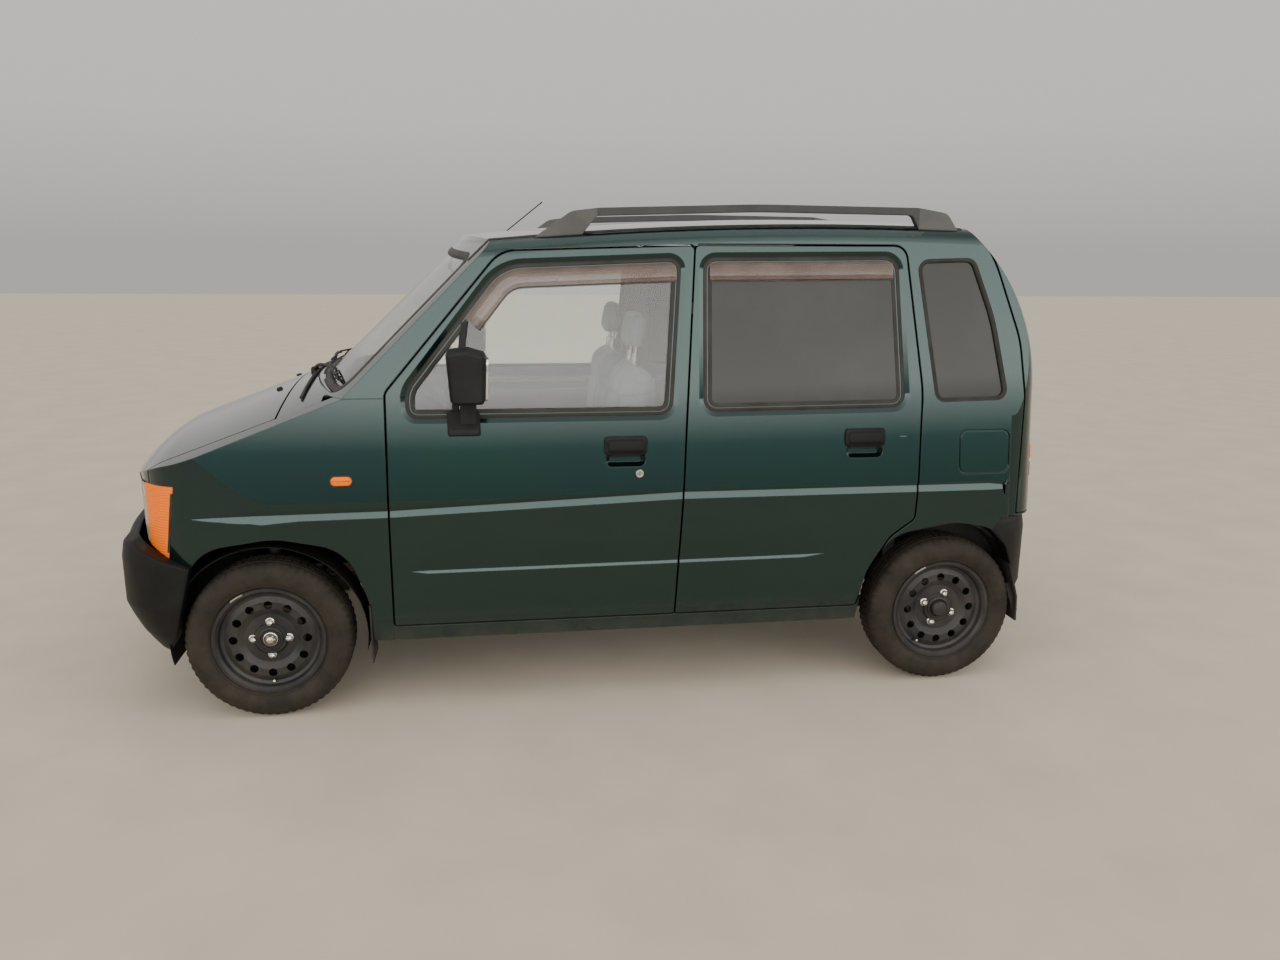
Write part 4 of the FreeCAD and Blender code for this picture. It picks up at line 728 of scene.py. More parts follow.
# Black block across the lock face: painted shade of the keyway slot
piece("*_key_slot", block(LOCK - Vector((0.0012, 0, 0.006)), LOCK + Vector((0.0012, 0.003, 0.006))),
    "trim_plastic", "front_*_door")
for end, x, low in (("front", back(1176), 0.869), ("rear", back(2006), 0.881)):
    # Black plate sunk in the handle cup under the flap: painted shade of the slit
    piece(f"*_{end}_grip_slit", button((x, low - 0.002, 0.05, 0.009, 0.006), flank, (0, -19), (0, -12)),
        "trim_plastic", f"{end}_*_door")
    piece(f"*_{end}_grip_pad", button((x, low + 0.0305, 0.064, 0.022, 0.012), flank, (0, 12), (0, 14.8),
        (4, 15.5), (12, 15.8)), "bumper_plastic", f"{end}_*_door")


def wiper(name, y_pivot, y_tip):
    """Wiper with its arm and blade parked along the foot of the windscreen."""
    foot = TOP_VIEW(1.003, y_pivot, 0.0)
    knob = lathe([(-4, 16), (16, 15.5), (22, 12), (23, 0)], foot, 24,
        Matrix.Rotation(math.radians(82), 3, "X"))
    blade = [FRONT_VIEW(y_pivot + 0.04 + (y_tip - y_pivot - 0.04) * k / 12, 1.108 - 0.012 * (k / 12) ** 2,
        0.0125) for k in range(13)]
    squeegee = [p - (FRONT_VIEW(p.y, p.z, 1.0) - FRONT_VIEW(p.y, p.z, 0.0)) * 0.008 for p in blade]
    rise = Vector((0.006, 0, 0.011))
    start = foot + Vector((0, 0, 0.016))
    reach = blade[6] + rise * 1.4 - start
    arm = [start + reach * (k / 7) + rise * math.sin(math.pi * k / 7) for k in range(8)]
    claws = [tube([blade[i] + rise, blade[i + 2] + rise * 0.3], 2.8, 6) for i in (1, 3, 8, 10)]
    bridge = tube([blade[1] + rise, blade[6] + rise * 1.7, blade[11] + rise], 3.5, 8)
    arm = tube(arm, [8.5, 7.5, 6.5, 6, 5.5, 5, 5, 4.5])
    piece(f"{name}_wiper", [knob, arm, bridge, *claws], "trim_plastic")
    piece(f"{name}_wiper_blade", [tube(blade, 3.5, 6), tube(squeegee, 2.2, 6)], "seal_rubber")


wiper("left", 0.11, 0.51)
wiper("right", -0.4, 0.03)
slots = [button((0.958 - 0.3 * y * y, y, 0.016, 0.0075, 0.004), TOP_VIEW, (0, -1), (0, 0.9))
    for y in (k * 0.026 for k in range(-17, 18)) if abs(abs(y) - 0.24) >= 0.055]
piece("cowl_slots", slots, "seal_rubber", smooth=0)
piece("*_washer_jet", button((1.115, 0.2, 0.01, 0.007, 0.005), TOP_VIEW, (0, -1), (0, 4), (3, 8)),
    "trim_plastic", "bonnet")
piece("cowl_moulding", tube([TOP_VIEW(0.99, y / 100, 0.0055) for y in range(-50, 51, 5)], 5.5, 8),
    "seal_grey")

# Seals and rings of the lamps, then the details of the tail
THIN_SEAL = [(-3.5, -4), (-3.5, 1.2), (3.5, 1.2), (3.5, -4)]
edge = [Vector((x - 0.0035, z)) for x, z in ((1.4085, 0.575), (1.4035, 0.605), (1.3945, 0.665),
    (1.3855, 0.725), (1.3785, 0.77))]
piece("*_lamp_seal", band(*trace(edge, LEFT_VIEW), THIN_SEAL, closed=False), "seal_rubber")
top = [BUMPER_VIEW(y, 0.788, 0.0) + Vector((0, 0, 0.004)) for y in (0.424, 0.46, 0.5, 0.54, 0.575)]
piece("*_lamp_top_seal", tube(top, 3, 6), "seal_rubber")
bowl = facing(*trace(plaque(0.495, 0.7, 0.058, 0.07, 0.03), BUMPER_VIEW))
piece("*_lamp_ring", band(*bowl, [(-2, -1), (-2, 1.2), (2, 1.2), (2, -1)]), "lamp_clear")
for name, z, material in (("turn", 0.835, "lamp_amber"), ("reverse", 0.772, "lamp_clear")):
    piece(f"*_tail_{name}", button((0.578, z, 0.038, 0.026, 0.006), TAIL_VIEW, (0, -2), (0, 1.8), (3, 3)),
        material, "tailgate")
scratch = button((back(2145), 0.912, 0.012, 0.0009, 0.0008), LEFT_VIEW, (0, -0.2), (0, 0.3))
piece("left_scratch", scratch, "lining", "rear_left_door")


def plate_screws(name, surface, body, height, way):
    """Two screws that close a number plate's fixing holes."""
    place = plane(0, surface(0.0, height, 0.0).x + way * 0.004, way)
    screws = []
    for y in (-0.105, 0.105):
        screws += [button((y, height, 0.0075, 0.0075, 0.007), place, (0, 0), (0, 3), (2, 4.5)),
            button((y, height, 0.01, 0.01, 0.0095), place, (0, -12), (0, 1))]
    piece(f"{name}_screws", screws, "bright_steel", body)


plate_screws("front_plate", BUMPER_VIEW, "root", 0.42, 1)
plate_screws("rear_plate", TAIL_VIEW, "tailgate", 0.78, -1)
BAR, PLATE_LAMP = (0.0, 0.912, 0.3, 0.026, 0.018), (0.06, 0.888, 0.026, 0.008, 0.004)
REFLECTOR, STOP_LAMP = (0.5, 0.475, 0.055, 0.016, 0.008), (0.0, 1.478, 0.11, 0.014, 0.006)
TAIL_DETAILS = (
    ("tail_handle_bar", "bumper_plastic", "tailgate", BAR, (0, -2), (0, 10), (4, 18), (12, 21)),
    ("*_plate_lamp", "lamp_clear", "tailgate", PLATE_LAMP, (0, -1), (0, 12), (2, 13.5)),
    ("*_reflector", "lamp_red", "root", REFLECTOR, (0, -2), (0, 3), (3, 5)),
    ("high_stop_lamp", "lamp_red", "tailgate", STOP_LAMP, (0, 2), (0, 12), (3, 15)))
for name, material, body, rectangle, *levels in TAIL_DETAILS:
    piece(name, button(rectangle, TAIL_VIEW, *levels), material, body)
lock = lathe([(-4, 13), (3, 13), (4.5, 11), (3, 9), (3.2, 0)], TAIL_VIEW(0.2, 0.865, 0.0), 28, LENGTHWISE)
piece("tail_lock", lock, "bright_steel", "tailgate")
hub = lathe([(-4, 24), (16, 22), (22, 16), (23, 0)], TAIL_VIEW(0.0, 1.035, 0.0), 24, LENGTHWISE)
arm = tube([TAIL_VIEW(-0.03 * k, 1.035 + 0.0105 * k, 0.022 - 0.0008 * k) for k in range(9)], 6, 8)
piece("tail_wiper", [hub, arm], "trim_plastic", "tailgate")
blade = [TAIL_VIEW(-0.05 - 0.04 * k, 1.088 + 0.004 * k, 0.011) for k in range(10)]
piece("tail_wiper_blade", tube(blade, 4.5, 6), "seal_rubber", "tailgate")
wires = [tube([TAIL_VIEW(y / 100, 1.115 + k * 0.028 - 0.00002 * y * y / 100, -0.0065)
    for y in range(-48, 49, 12)], 0.9, 4) for k in range(12)]
piece("tail_heater_wires", wires, "seal_rubber", "tailgate")
piece("*_tail_hinge_cover", button((back(2386), 0.33, 0.022, 0.03, 0.008), TOP_VIEW, (0, -1), (0, 4),
    (4, 7)), "seal_rubber")

# Lower air slot, lamp blanks and towing eye at the front, and the bracket of the rear flap
piece("front_air_slot", button((0.0, 0.33, 0.3, 0.026, 0.016), BUMPER_VIEW, (0, -2), (0, 1.2)),
    "seal_rubber")
bars = [tube([BUMPER_VIEW(y / 100, 0.318 + k * 0.012, 0.0025) for y in range(-28, 29, 8)], 2.2, 6)
    for k in range(3)]
piece("front_slot_bars", bars, "bumper_plastic")
piece("*_lamp_blank", button((0.47, 0.345, 0.085, 0.034, 0.014), BUMPER_VIEW, (0, -2), (0, 1.5), (6, 3),
    (10, 1.8)), "seal_rubber")
turns = [2 * math.pi * k / 16 for k in range(17)]
ring = tube([(1.466 + 0.015 * math.cos(a), 0.505, 0.262 + 0.015 * math.sin(a)) for a in turns], 4.8, 8)
shank = tube([(1.468, 0.505, 0.277), (1.47, 0.5, 0.305), (1.472, 0.48, 0.345)], 5.5, 8)
piece("towing_eye", [ring, shank], "bright_steel")
lip = [Vector((back(2602), 0.65, 0.352)), Vector((back(2612), 0.664, 0.3)),
    Vector((back(2630), 0.664, 0.246))]
piece("flap_bracket", band(lip, Vector((0, 1, 0)), [(-10, 0), (10, 0), (10, 3), (-10, 3)], closed=False),
    "seal_rubber")


def mirror_face(u, v, lift):
    """Place on the leaning plane of the mirror glass."""
    return Vector((back(724) - (v - 1.06) * 0.04 - lift, u, v))


rib_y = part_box("front_left_mirror_and_handle")[1].y - 0.0122
piece("*_mirror_glass", button((0.766, 1.139, 0.06, 0.064, 0.014), mirror_face, (0, -4), (0, 3), (3, 3.5)),
    "mirror_glass", "front_*_door")
ribs = [tube([(back(704 - k * 7) - (z - 1.06) * 0.035, rib_y, z) for z in (1.082, 1.13, 1.18, 1.204)],
    2.2, 6) for k in range(4)]
piece("*_mirror_ribs", ribs, "bumper_plastic", "front_*_door")
piece("*_mirror_foot", button((back(650), 0.98, 0.05, 0.038, 0.01), flank, (0, -6), (0, 10), (4, 13),
    (9, 10.5)), "trim_plastic", "front_*_door")

FILLER = Vector((back(2446), 0.654, 0.853))
cap = lathe([(-4, 42), (4, 42), (6, 36), (14, 36), (16, 32), (16, 0)], FILLER, 40)
grip = block(FILLER + Vector((-0.03, 0.016, -0.006)), FILLER + Vector((0.03, 0.022, 0.006)))
piece("filler_cap", [cap, grip], "trim_plastic", bevel=0.002)


# Cabin

PAD_GRID = 0.01
PAD_PRESSURE = 4.0
PAD_FRAMES = 20


def applied(obj):
    """Put an object's modifiers into its mesh."""
    graph = bpy.context.evaluated_depsgraph_get()
    mesh = bpy.data.meshes.new_from_object(obj.evaluated_get(graph))
    obj.modifiers.clear()
    obj.data = mesh


def swell(obj, cap):
    """Swell a pad under cloth pressure; no point moves further than the cap."""
    scene = bpy.context.scene
    start = [v.co.copy() for v in obj.data.vertices]
    cloth = obj.modifiers.new("swell", "CLOTH")
    cloth.settings.quality = 5
    cloth.settings.use_pressure = True
    cloth.settings.uniform_pressure_force = PAD_PRESSURE
    cloth.settings.effector_weights.gravity = 0.0
    for frame_number in range(1, PAD_FRAMES + 1):
        scene.frame_set(frame_number)
    applied(obj)
    scene.frame_set(1)
    for vertex, place in zip(obj.data.vertices, start):
        move = vertex.co - place
        if move.length > cap:
            vertex.co = place + move.normalized() * cap


def sew(mesh, seams):
    """Sewn channels: (point, normal, half width, depth) planes that pull the cover in."""
    moves = []
    for vertex in mesh.vertices:
        depth = sum(deep * math.exp(-((vertex.co - point).dot(normal) / wide) ** 2)
            for point, normal, wide, deep in seams)
        moves.append(vertex.normal * -depth)
    for vertex, move in zip(mesh.vertices, moves):
        vertex.co += move


def pad(name, rows, y_from, y_to, seams, cap=0.022, covers=None):
    """Padded form from a side outline in millimetres: swollen, sewn and set on the body."""
    outline = shrink(rounded(in_metres(rows), 0.012), 0.012)
    steps = [(0.0, 0.03), (0.01, 0.012), (0.03, 0.002), (0.06, 0.0)]
    rings = [(y_from + a, b) for a, b in steps] + [(y_from + (y_to - y_from) / 2, -0.004)]
    rings += [(y_to - a, b) for a, b in reversed(steps)]
    verts, faces = skin([[Vector((p.x, y, p.y)) for p in shrink(outline, inward)] for y, inward in rings])
    mesh = bpy.data.meshes.new("form")
    mesh.from_pydata(verts, [], faces)
    outward(mesh)
    obj = show("form", mesh)
    even = obj.modifiers.new("even", "REMESH")
    even.mode = "VOXEL"
    even.voxel_size = PAD_GRID
    applied(obj)
    swell(obj, cap)
    fine = obj.modifiers.new("fine", "SUBSURF")
    fine.levels = fine.render_levels = 1
    applied(obj)
    sew(obj.data, seams)
    form = [v.co.copy() for v in obj.data.vertices], [tuple(p.vertices) for p in obj.data.polygons]
    bpy.data.objects.remove(obj)
    for shown in piece(name, form, "seat_fabric", smooth=180.0):
        if covers:
            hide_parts(covers)


def across(y, wide=0.006, deep=0.007):
    """A sewn line that runs lengthwise at a given Y."""
    return Vector((0, y, 0)), Vector((0, 1, 0)), wide, deep


def cut_line(x, z, slope, wide=0.006, deep=0.007):
    """A sewn line across the seat, on a plane through a point in side view."""
    return Vector((x, 0, z)), Vector((math.cos(slope), 0, math.sin(slope))), wide, deep


SEAT = 0.31
pad("*_seat_cushion", [(400, 470, 40), (408, 585, 60), (150, 580, 300), (-75, 560, 50), (-80, 462, 30)],
    SEAT - 0.235, SEAT + 0.235, [across(SEAT - 0.145), across(SEAT + 0.145), cut_line(0.295, 0.57, 0.0),
    cut_line(0.06, 0.57, 0.0)], covers="front_seats")
pad("*_seat_back", [(-8, 545, 50), (-95, 1160, 55), (-205, 1150, 50), (-150, 700, 400), (-105, 540, 40)],
    SEAT - 0.23, SEAT + 0.23, [across(SEAT - 0.135), across(SEAT + 0.135), cut_line(-0.06, 1.03, 1.43),
    cut_line(-0.03, 0.75, 1.43)])
pad("*_headrest", [(-88, 1185, 30), (-112, 1330, 36), (-190, 1325, 36), (-168, 1183, 28)], SEAT - 0.13,
    SEAT + 0.13, [cut_line(-0.145, 1.25, 0.13, 0.004, 0.004)], cap=0.014)
pad("rear_cushion", [(-440, 500, 40), (-432, 622, 60), (-760, 605, 60), (-840, 590, 40), (-850, 470, 30)],
    -0.455, 0.455, [across(-0.15), across(0.15), across(0.0), cut_line(-0.53, 0.6, 0.0)],
    covers="rear_seat")
pad("rear_back", [(-775, 600, 50), (-895, 1150, 55), (-1005, 1140, 45), (-880, 560, 40)], -0.455, 0.455,
    [across(-0.15), across(0.15), across(0.0, 0.004, 0.012), cut_line(-0.87, 1.03, 1.36)])

# Seat runners, side covers with their knobs, and headrest posts
parts = [block((-0.03, SEAT - 0.19, 0.44), (0.33, SEAT + 0.19, 0.462))]
for y in (SEAT - 0.17, SEAT + 0.17):
    parts += [block((-0.05, y - 0.022, 0.2503), (0.38, y + 0.022, 0.29)),
        block((-0.02, y - 0.014, 0.29), (0.35, y + 0.014, 0.318))]
    parts += [block((x - 0.02, y - 0.01, 0.315), (x + 0.02, y + 0.01, 0.492)) for x in (0.02, 0.3)]
piece("*_seat_runners", parts, "chassis_steel", bevel=0.002)
skirt = [Vector(p) for p in ((-0.085, 0.455), (0.345, 0.44), (0.365, 0.49), (0.1, 0.52), (-0.085, 0.62))]
skirt = raised(skirt, plane(1, SEAT + 0.205), (0, 0), (0, 20), (6, 26))
knob = lathe([(0, 28), (20, 26), (24, 20), (24, 0)], (-0.045, SEAT + 0.23, 0.57), 28)
piece("*_seat_cover", [skirt, knob], "dash_plastic")
posts = []
for y in (SEAT - 0.06, SEAT + 0.06):
    posts += [tube([(-0.138, y, 1.105), (-0.143, y, 1.215)], 6.5, 10),
        tube([(-0.136, y, 1.135), (-0.139, y, 1.172)], 13, 12)]
piece("*_headrest_posts", posts, "bright_steel")

STRAP = [(-23, 0), (23, 0), (23, 1.4), (-23, 1.4)]
for end, x, z, y in (("front", back(1402), 1.34, 0.598), ("rear", back(2175), 1.3, 0.584)):
    path = [Vector(p) for p in ((x, y, z), (x + 0.01, y - 0.012, z - 0.3), (x + 0.015, y - 0.006, 0.75),
        (x + 0.015, y - 0.004, 0.42))]
    strap = band(refine(path, 0.05, False), Vector((0, -1, 0)), STRAP, closed=False)
    piece(f"*_{end}_belt", strap, "trim_plastic")
    piece(f"*_{end}_belt_guide", button((x, z + 0.004, 0.032, 0.018, 0.012), plane(1, y), (0, 12), (0, -6),
        (3, -10)), "dash_plastic")


def on_door(u, v, lift):
    """Place on a door's cabin side."""
    return flank(u, v, -DOOR_WALL - 0.0003 - lift)


FRONT_BOARD = [(474, 372, 60), (474, 975, 40), (1300, 975, 30), (1282, 372, 60)]
REAR_BOARD = [(1452, 372, 60), (1462, 975, 40), (2120, 975, 40), (2086, 640, 120), (1975, 500, 150),
    (1915, 372, 60)]
for end, first, half, (cloth, sill, pocket), outline in (
        ("front", 474, 430, (0.3, 0.35, 0.24), FRONT_BOARD),
        ("rear", 1452, 300, (0.235, 0.27, 0.15), REAR_BOARD)):
    middle = first + half
    body = f"{end}_*_door"
    board = raised(rounded(from_axle(outline), 0.02), on_door, (0, 0), (0, 6), (4, 10), (12, 12))
    piece(f"*_{end}_door_trim", board, "lining", body)
    cloth = button((back(middle), 0.8, cloth, 0.115, 0.04), on_door, (0, 10), (0, 16), (6, 19), (30, 21))
    piece(f"*_{end}_door_cloth", cloth, "seat_fabric", body)
    # Pale strip along the top of the door trim, in the headliner colour: a painted highlight where light falls on
    # the trim's upper edge
    sill = button((back(middle), 0.957, sill, 0.012, 0.01), on_door, (0, 8), (0, 14), (3, 18))
    piece(f"*_{end}_door_sill", sill, "headliner", body)
    rest = button((back(middle + 60), 0.668, 0.17, 0.024, 0.02), on_door, (0, 8), (0, 36), (5, 46), (12, 48))
    release = button((back(first + 130), 0.868, 0.045, 0.02, 0.014), on_door, (0, 14), (0, 20), (4, 24),
        (10, 20))
    pocket = button((back(middle), 0.45, pocket, 0.05, 0.03), on_door, (0, 8), (0, 26), (6, 32), (14, 30))
    piece(f"*_{end}_door_fittings", [rest, release, pocket], "dash_plastic", body)
    hub = on_door(back(middle - 120), 0.6, 0.01)
    crank = [hub + Vector(p) for p in ((0, 0, 0), (0, -0.03, 0), (0.055, -0.036, -0.085),
        (0.055, -0.06, -0.085))]
    piece(f"*_{end}_window_crank", tube(crank, [19, 12, 8, 11], 14), "trim_plastic", body)

# Instruments, vents, switches, glovebox and centre stack on the dashboard's cabin face
vents = []
for y in (-0.545, -0.12, 0.09, 0.545):
    vents.append(button((y, 0.872, 0.044, 0.026, 0.01), DASH, (0, -2), (0, 6), (4, 8), (7, 4)))
    vents += [tube([DASH(y - 0.036, z, 0.0065), DASH(y + 0.036, z, 0.0065)], 1.8, 6)
        for z in (0.86, 0.872, 0.884)]
piece("dash_vents", vents, "trim_plastic")
piece("dash_centre", button((-0.015, 0.775, 0.095, 0.06, 0.01), DASH, (0, -2), (0, 7), (3, 10), (6, 8)),
    "trim_plastic")
knobs = [lathe([(0, 14), (12, 12.5), (15, 10), (15, 0)], DASH(y, 0.745, 0.008), 20, LENGTHWISE)
    for y in (-0.07, -0.015, 0.04)]
radio = button((-0.015, 0.8, 0.08, 0.02, 0.006), DASH, (0, 7), (0, 14), (3, 15.5))
piece("dash_controls", [*knobs, radio], "dash_plastic")
lid = button((0.33, 0.72, 0.165, 0.06, 0.018), DASH, (0, -2), (0, 6), (4, 10), (12, 11))
catch = button((0.33, 0.76, 0.024, 0.01, 0.006), DASH, (0, 8), (0, 15), (3, 17))
piece("glovebox", [lid, catch], "dash_plastic")
hood = rounded([(0.54, 0.9, 0.02), (0.545, 1.0, 0.04), (0.65, 1.018, 0.03), (0.715, 0.972, 0.02),
    (0.7, 0.9, 0.02)], 0.01)
piece("instrument_hood", raised(hood, plane(1, -0.46), (12, 0), (3, 10), (0, 30), (0, 270), (3, 290),
    (12, 300)), "dash_plastic")
dials = [lathe([(-2, 34), (4, 34), (4, 30), (1, 29), (1, 0)], (0.5425, y, 0.952), 32, LENGTHWISE)
    for y in (-0.385, -0.31, -0.235)]
piece("instrument_dials", dials, "trim_plastic")

# Gear and brake levers, pedals, cabin mirror, sun visors, grab handles and carpets
lever = tube([(0.375, 0.01, 0.262), (0.38, 0.01, 0.42), (0.36, 0.01, 0.56)], [9, 7, 6])
gaiter = lathe([(0, 60), (30, 46), (50, 40), (90, 18), (100, 0)], (0.375, 0.01, 0.258), 24, UPRIGHT)
ball = lathe([(-26, 0), (-20, 18), (0, 25), (20, 18), (26, 0)], (0.358, 0.01, 0.578), 20)
brake = tube([(0.1, -0.02, 0.262), (0.02, -0.02, 0.34), (-0.13, -0.02, 0.43)], [14, 13, 16])
piece("levers", [lever, gaiter, ball, brake], "trim_plastic")
pedals = []
for y, z in ((-0.4, 0.37), (-0.32, 0.38), (-0.235, 0.35)):
    pedals += [tube([(0.735, y, z + 0.16), (0.7, y, z + 0.04), (0.668, y, z)], 6, 8),
        block((0.655, y - 0.026, z - 0.03), (0.667, y + 0.026, z + 0.03))]
piece("pedals", pedals, "trim_plastic", bevel=0.002)
MIRROR = plane(0, 0.47)
case = button((0.0, 1.418, 0.115, 0.032, 0.02), MIRROR, (0, 0), (0, 18), (6, 28), (14, 30))
stem = tube([(0.492, 0, 1.43), (0.515, 0, 1.462), (0.505, 0, 1.492)], 8, 10)
piece("cabin_mirror", [case, stem], "trim_plastic")
piece("cabin_mirror_glass", button((0.0, 1.418, 0.108, 0.026, 0.016), MIRROR, (0, 2), (0, -1.5)),
    "mirror_glass")


def under_roof(u, v, lift):
    """Place on a plane that follows the headlining above the windscreen."""
    return Vector((v, u, 1.508 - 0.42 * (v - 0.34) - lift))


piece("*_sun_visor", button((0.3, 0.41, 0.17, 0.07, 0.024), under_roof, (10, 0), (2, 4), (0, 10), (2, 16),
    (10, 20)), "headliner")
grab = [(0.02, 0.548, 1.5), (0.0, 0.52, 1.478), (-0.16, 0.52, 1.478), (-0.18, 0.548, 1.5)]
piece("*_grab_handle", tube(grab, 9, 10), "dash_plastic")
for name, x0, x1, half, low, thick in (("front_carpet", -0.925, 0.742, 0.585, 0.2503, 7),
        ("load_floor", -1.505, -0.93, 0.462, 0.4503, 14)):
    outline = plaque((x0 + x1) / 2, 0.0, (x1 - x0) / 2, half, 0.03, 0.02)
    piece(name, raised(outline, plane(2, low), (0, 0), (0, thick - 3), (6, thick)), "carpet")


# Under the bonnet

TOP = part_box("engine_block")[1].z
ON_ENGINE = plane(2, TOP)
cover = button((1.185, -0.03, 0.07, 0.215, 0.03), ON_ENGINE, (0, -2), (0, 30), (6, 45), (16, 50))
ribs = [tube([(1.15 + 0.018 * k, -0.2, TOP + 0.05), (1.15 + 0.018 * k, 0.14, TOP + 0.05)], 3, 6)
    for k in range(5)]
piece("rocker_cover", [cover, *ribs], "engine_alloy")
cap = lathe([(0, 22), (12, 22), (16, 18), (16, 0)], (1.185, 0.1, TOP + 0.048), 24, UPRIGHT)
piece("oil_cap", cap, "trim_plastic")
air = button((1.3, 0.08, 0.06, 0.11, 0.03), ON_ENGINE, (0, -2), (0, 20), (-4, 21), (-4, 27), (0, 28),
    (4, 60), (14, 66))
duct = tube([(1.3, -0.02, TOP + 0.035), (1.32, -0.12, TOP + 0.035), (1.345, -0.19, TOP + 0.01),
    (1.372, -0.22, TOP - 0.05)], 26, 16)
piece("air_box", [air, duct], "trim_plastic")
piece("battery", [block((1.26, -0.262, TOP - 0.002), (1.366, -0.105, TOP + 0.01)),
    block((0.93, 0.375, 0.6685), (1.05, 0.56, 0.835))], "trim_plastic", bevel=0.003)
clamp = [tube([(0.955, y, 0.835), (0.955, y, 0.851)], 9, 12) for y in (0.405, 0.53)]
clamp += [tube([(0.99, y, 0.8365), (0.99, y, 0.7)], 3, 8) for y in (0.371, 0.564)]
clamp.append(tube([(0.99, 0.371, 0.838), (0.99, 0.564, 0.838)], 5, 8))
piece("battery_clamp", clamp, "bare_steel")
piece("washer_bottle", button((1.33, -0.47, 0.05, 0.07, 0.02), plane(2, 0.6685), (6, 0), (0, 10), (0, 90),
    (12, 110), (30, 118)), "headliner")
core = button((0.0, 0.56, 0.27, 0.15, 0.01), plane(0, 1.44), (0, 0), (0, 26), (4, 28))
fins = [tube([(1.439, -0.26, 0.43 + k * 0.014), (1.439, 0.26, 0.43 + k * 0.014)], 1.6, 4) for k in range(19)]
piece("radiator", [core, *fins], "chassis_steel")
upper_hose = [(1.44, 0.2, 0.69), (1.415, 0.19, 0.745), (1.38, 0.15, 0.76), (1.34, 0.18, TOP + 0.006)]
lower_hose = [(1.44, -0.21, 0.44), (1.4, -0.215, 0.43), (1.371, -0.2, 0.45)]
heater_hose = [(1.1, -0.1, TOP + 0.01), (1.06, -0.12, TOP + 0.03), (0.98, -0.14, 0.7), (0.8, -0.14, 0.66),
    (0.7605, -0.14, 0.66)]
hoses = [tube(upper_hose, 16, 14), tube(lower_hose, 16, 14), tube(heater_hose, 10, 10)]
piece("coolant_hoses", hoses, "seal_rubber")
servo = lathe([(0, 100), (15, 104), (30, 100), (70, 60), (75, 22), (190, 20), (192, 0)],
    (0.7605, -0.48, 0.79), 40, LENGTHWISE.inverted())
piece("brake_servo", servo, "chassis_steel")
tower = lathe([(0, 75), (4, 75), (12, 60), (30, 55), (34, 46), (36, 0)], (FRONT_AXLE, 0.455, 0.6682), 40,
    UPRIGHT)
piece("*_strut_top", tower, "chassis_steel")
piece("bonnet_catch", [block((1.5, -0.03, 0.7865), (1.54, 0.03, 0.7905)),
    tube([(1.52, -0.02, 0.792), (1.52, 0.02, 0.792)], 4, 8)], "bare_steel")


# Under the floor

COIL_STEPS = 14


def coil(low, high, radius, turns):
    """Coil spring between two points."""
    axis = high - low
    u = axis.cross(Vector((1, 0, 0))).normalized() * radius
    w = axis.normalized().cross(u)
    steps = turns * COIL_STEPS
    line = []
    for k in range(steps + 1):
        turn = 2 * math.pi * k / COIL_STEPS
        line.append(low + axis * (k / steps) + u * math.cos(turn) + w * math.sin(turn))
    return tube(line, 6.2, 8)


ribs = [raised(plaque(-0.08, y, 0.76, 0.028, 0.01, 0.01), plane(2, 0.225, -1), (0, -1), (0, 6), (8, 14),
    (12, 16)) for y in (-0.5, -0.18, 0.06, 0.5)]
piece("floor_ribs", ribs, "chassis_steel")
pipes = [tube([(0.745, y, 0.2215), (0.1, y, 0.2215), (-0.3, y - 0.015, 0.2215), (-0.915, y - 0.015, 0.2215)],
    3.2, 6) for y in (0.1, 0.112, 0.124)]
piece("brake_pipes", pipes, "bare_steel")
low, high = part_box("fuel_tank")
straps = []
for x in (low.x + 0.1, high.x - 0.1):
    line = [Vector((x, y, z)) for y, z in ((low.y - 0.004, 0.2245), (low.y - 0.004, low.z - 0.003),
        (high.y + 0.004, low.z - 0.003), (high.y + 0.004, 0.2245))]
    straps.append(band(refine(line, 0.05, False), Vector((1, 0, 0)),
        [(-1, -15), (1, -15), (1, 15), (-1, 15)], closed=False))
piece("tank_straps", straps, "bare_steel")
middle = (low + high) / 2
half = (high - low) / 2
seam = plaque(middle.x, middle.y, half.x - 0.03, half.y - 0.03, 0.05, 0.02)
piece("tank_pressing", raised(seam, plane(2, low.z, -1), (0, -1), (4, 6), (20, 10)), "chassis_steel")
hangers = [tube([(x, -0.33, 0.199), (x, -0.33, 0.2245)], 7, 8) for x in (0.6, 0.05, -0.55)]
hangers += [lathe([(-5, 34), (5, 34), (5, 21)], (x, -0.33, 0.199), 20, LENGTHWISE) for x in (0.42, -0.4)]
piece("exhaust_hangers", hangers, "bare_steel")
foot = Vector((REAR_AXLE, 0.42, 0.292))
piece("*_rear_coil", coil(foot, foot + Vector((0, 0, 0.132)), 0.046, 5), "coil")
ball = Vector((FRONT_AXLE, 0.56, 0.168))
king = (Vector((FRONT_AXLE, 0.43, 0.78)) - ball).normalized()
piece("*_front_coil", coil(ball + king * 0.398, ball + king * 0.49, 0.056, 4), "coil")
seat = lathe([(-3, 66), (3, 66), (6, 50), (6, 21)], ball + king * 0.392, 32,
    king.to_track_quat("Y", "Z").to_matrix())
piece("*_spring_seat", seat, "chassis_steel")


# Floor, light and camera

FLOOR_HALF = 30.0
corners = [Vector((x, y, 0)) for x, y in ((-1, -1), (1, -1), (1, 1), (-1, 1))]
mesh = bpy.data.meshes.new("floor")
mesh.from_pydata([corner * FLOOR_HALF for corner in corners], [], [(0, 1, 2, 3)])
tree = new_tree("floor")
mesh.materials.append(tree.finish(tree.mix(tree.patches(0.3, 0.7, 3, 6), (0.52, 0.455, 0.365),
    (0.58, 0.51, 0.415)), 0.85))
show("floor", mesh)

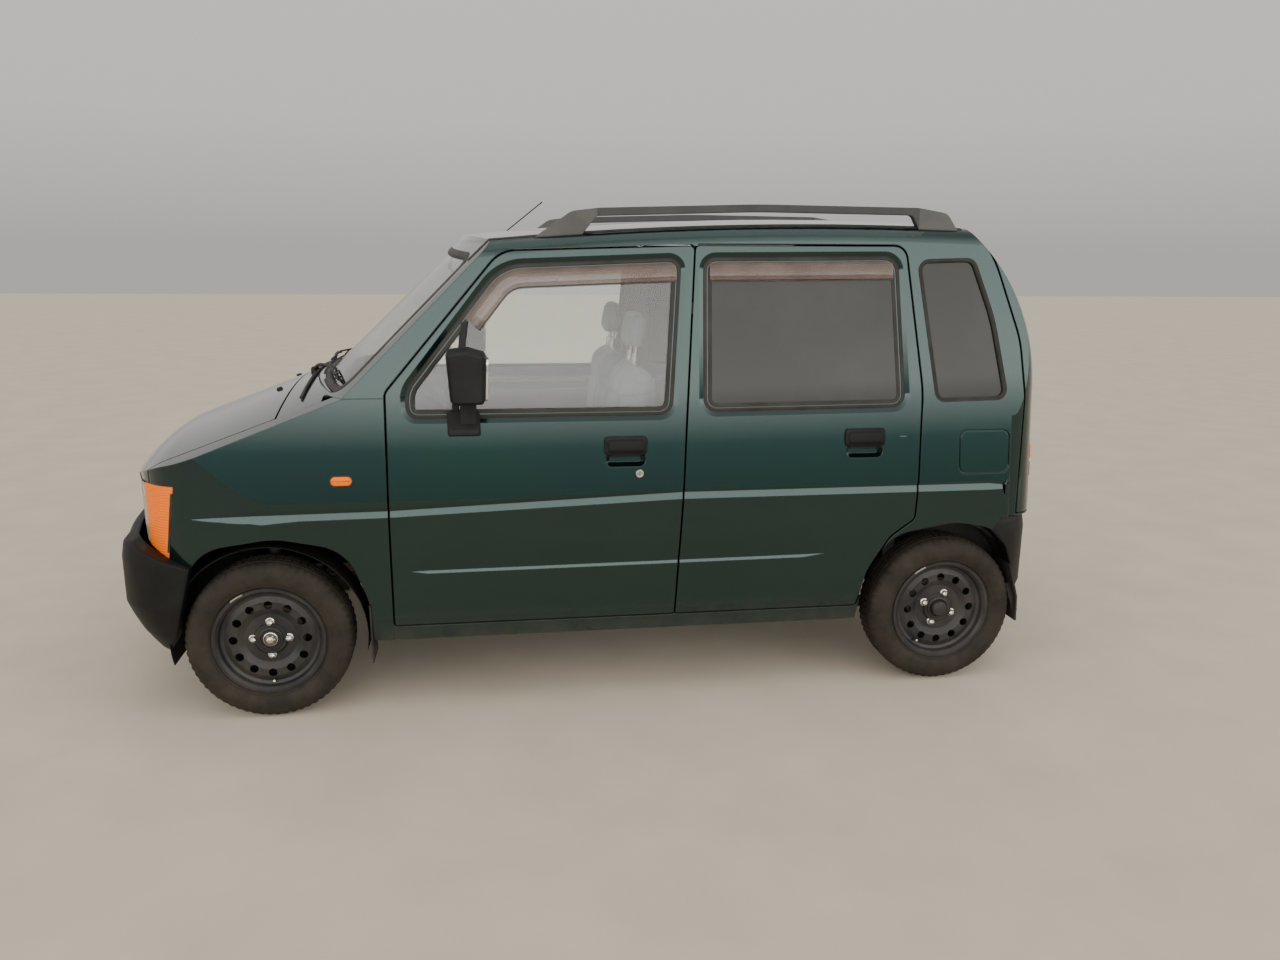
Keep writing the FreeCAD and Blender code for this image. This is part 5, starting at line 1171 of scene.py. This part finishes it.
OVERHEAD = Vector((0.0, 1.0, 4.6))
data = bpy.data.lights.new("overhead", "AREA")
data.shape = "RECTANGLE"
data.size = 5.0
data.size_y = 3.5
data.energy = 45
data.color = (1.0, 0.98, 0.95)
lamp = show("overhead", data)
lamp.location = OVERHEAD
lamp.rotation_euler = (Vector((0.0, 0.0, 0.6)) - OVERHEAD).to_track_quat("-Z", "Y").to_euler()

# The surround by height: even on the far side, dim at the horizon and bright above on the near side
FAR_SKY = [(0.0, 0.62), (0.12, 0.9), (0.6, 1.0)]
NEAR_SKY = [(0.0, 0.3), (0.05, 0.32), (0.105, 6.4), (0.35, 3.6), (0.8, 1.1)]
world = bpy.data.worlds.new("surround")
bpy.context.scene.world = world
tree = Tree(world, "Background", "Generated")
fades = []
for stops in (FAR_SKY, NEAR_SKY):
    fade = tree.add("ValToRGB", {"Fac": tree.axis("Z")})
    for _ in stops[2:]:
        fade.color_ramp.elements.new(0.5)
    for element, (position, level) in zip(fade.color_ramp.elements, stops):
        element.position = position
        element.color = (level, level * 0.975, level * 0.93, 1)
    fades.append(fade.outputs["Color"])
tree.put(tree.shader, {"Color": tree.mix(tree.ramp(tree.axis("Y"), 0.0, 1.0, 0.0, 0.45), *fades),
    "Strength": 0.78})

# The camera stands at the photo's place, found by fitting the car's known sizes to it
CAMERA_PLACE = Vector((0.3942, 3.9043, 1.5359))
CAMERA_YAW = math.radians(8.92)
CAMERA_PITCH = math.radians(13.02)
CAMERA_ROLL = math.radians(0.568)
CAMERA_LENS = 28.17
ahead = Vector((-math.sin(CAMERA_YAW) * math.cos(CAMERA_PITCH),
    -math.cos(CAMERA_YAW) * math.cos(CAMERA_PITCH), -math.sin(CAMERA_PITCH)))
right = ahead.cross(Vector((0, 0, 1))).normalized()
up = right.cross(ahead)
level = right * math.cos(CAMERA_ROLL) + up * math.sin(CAMERA_ROLL)
top = up * math.cos(CAMERA_ROLL) - right * math.sin(CAMERA_ROLL)
data = bpy.data.cameras.new("camera")
data.lens = CAMERA_LENS
data.sensor_width = 36.0
data.sensor_fit = "HORIZONTAL"
camera = show("camera", data)
camera.matrix_world = Matrix.Translation(CAMERA_PLACE) @ Matrix((level, top, -ahead)).transposed().to_4x4()
bpy.context.scene.camera = camera
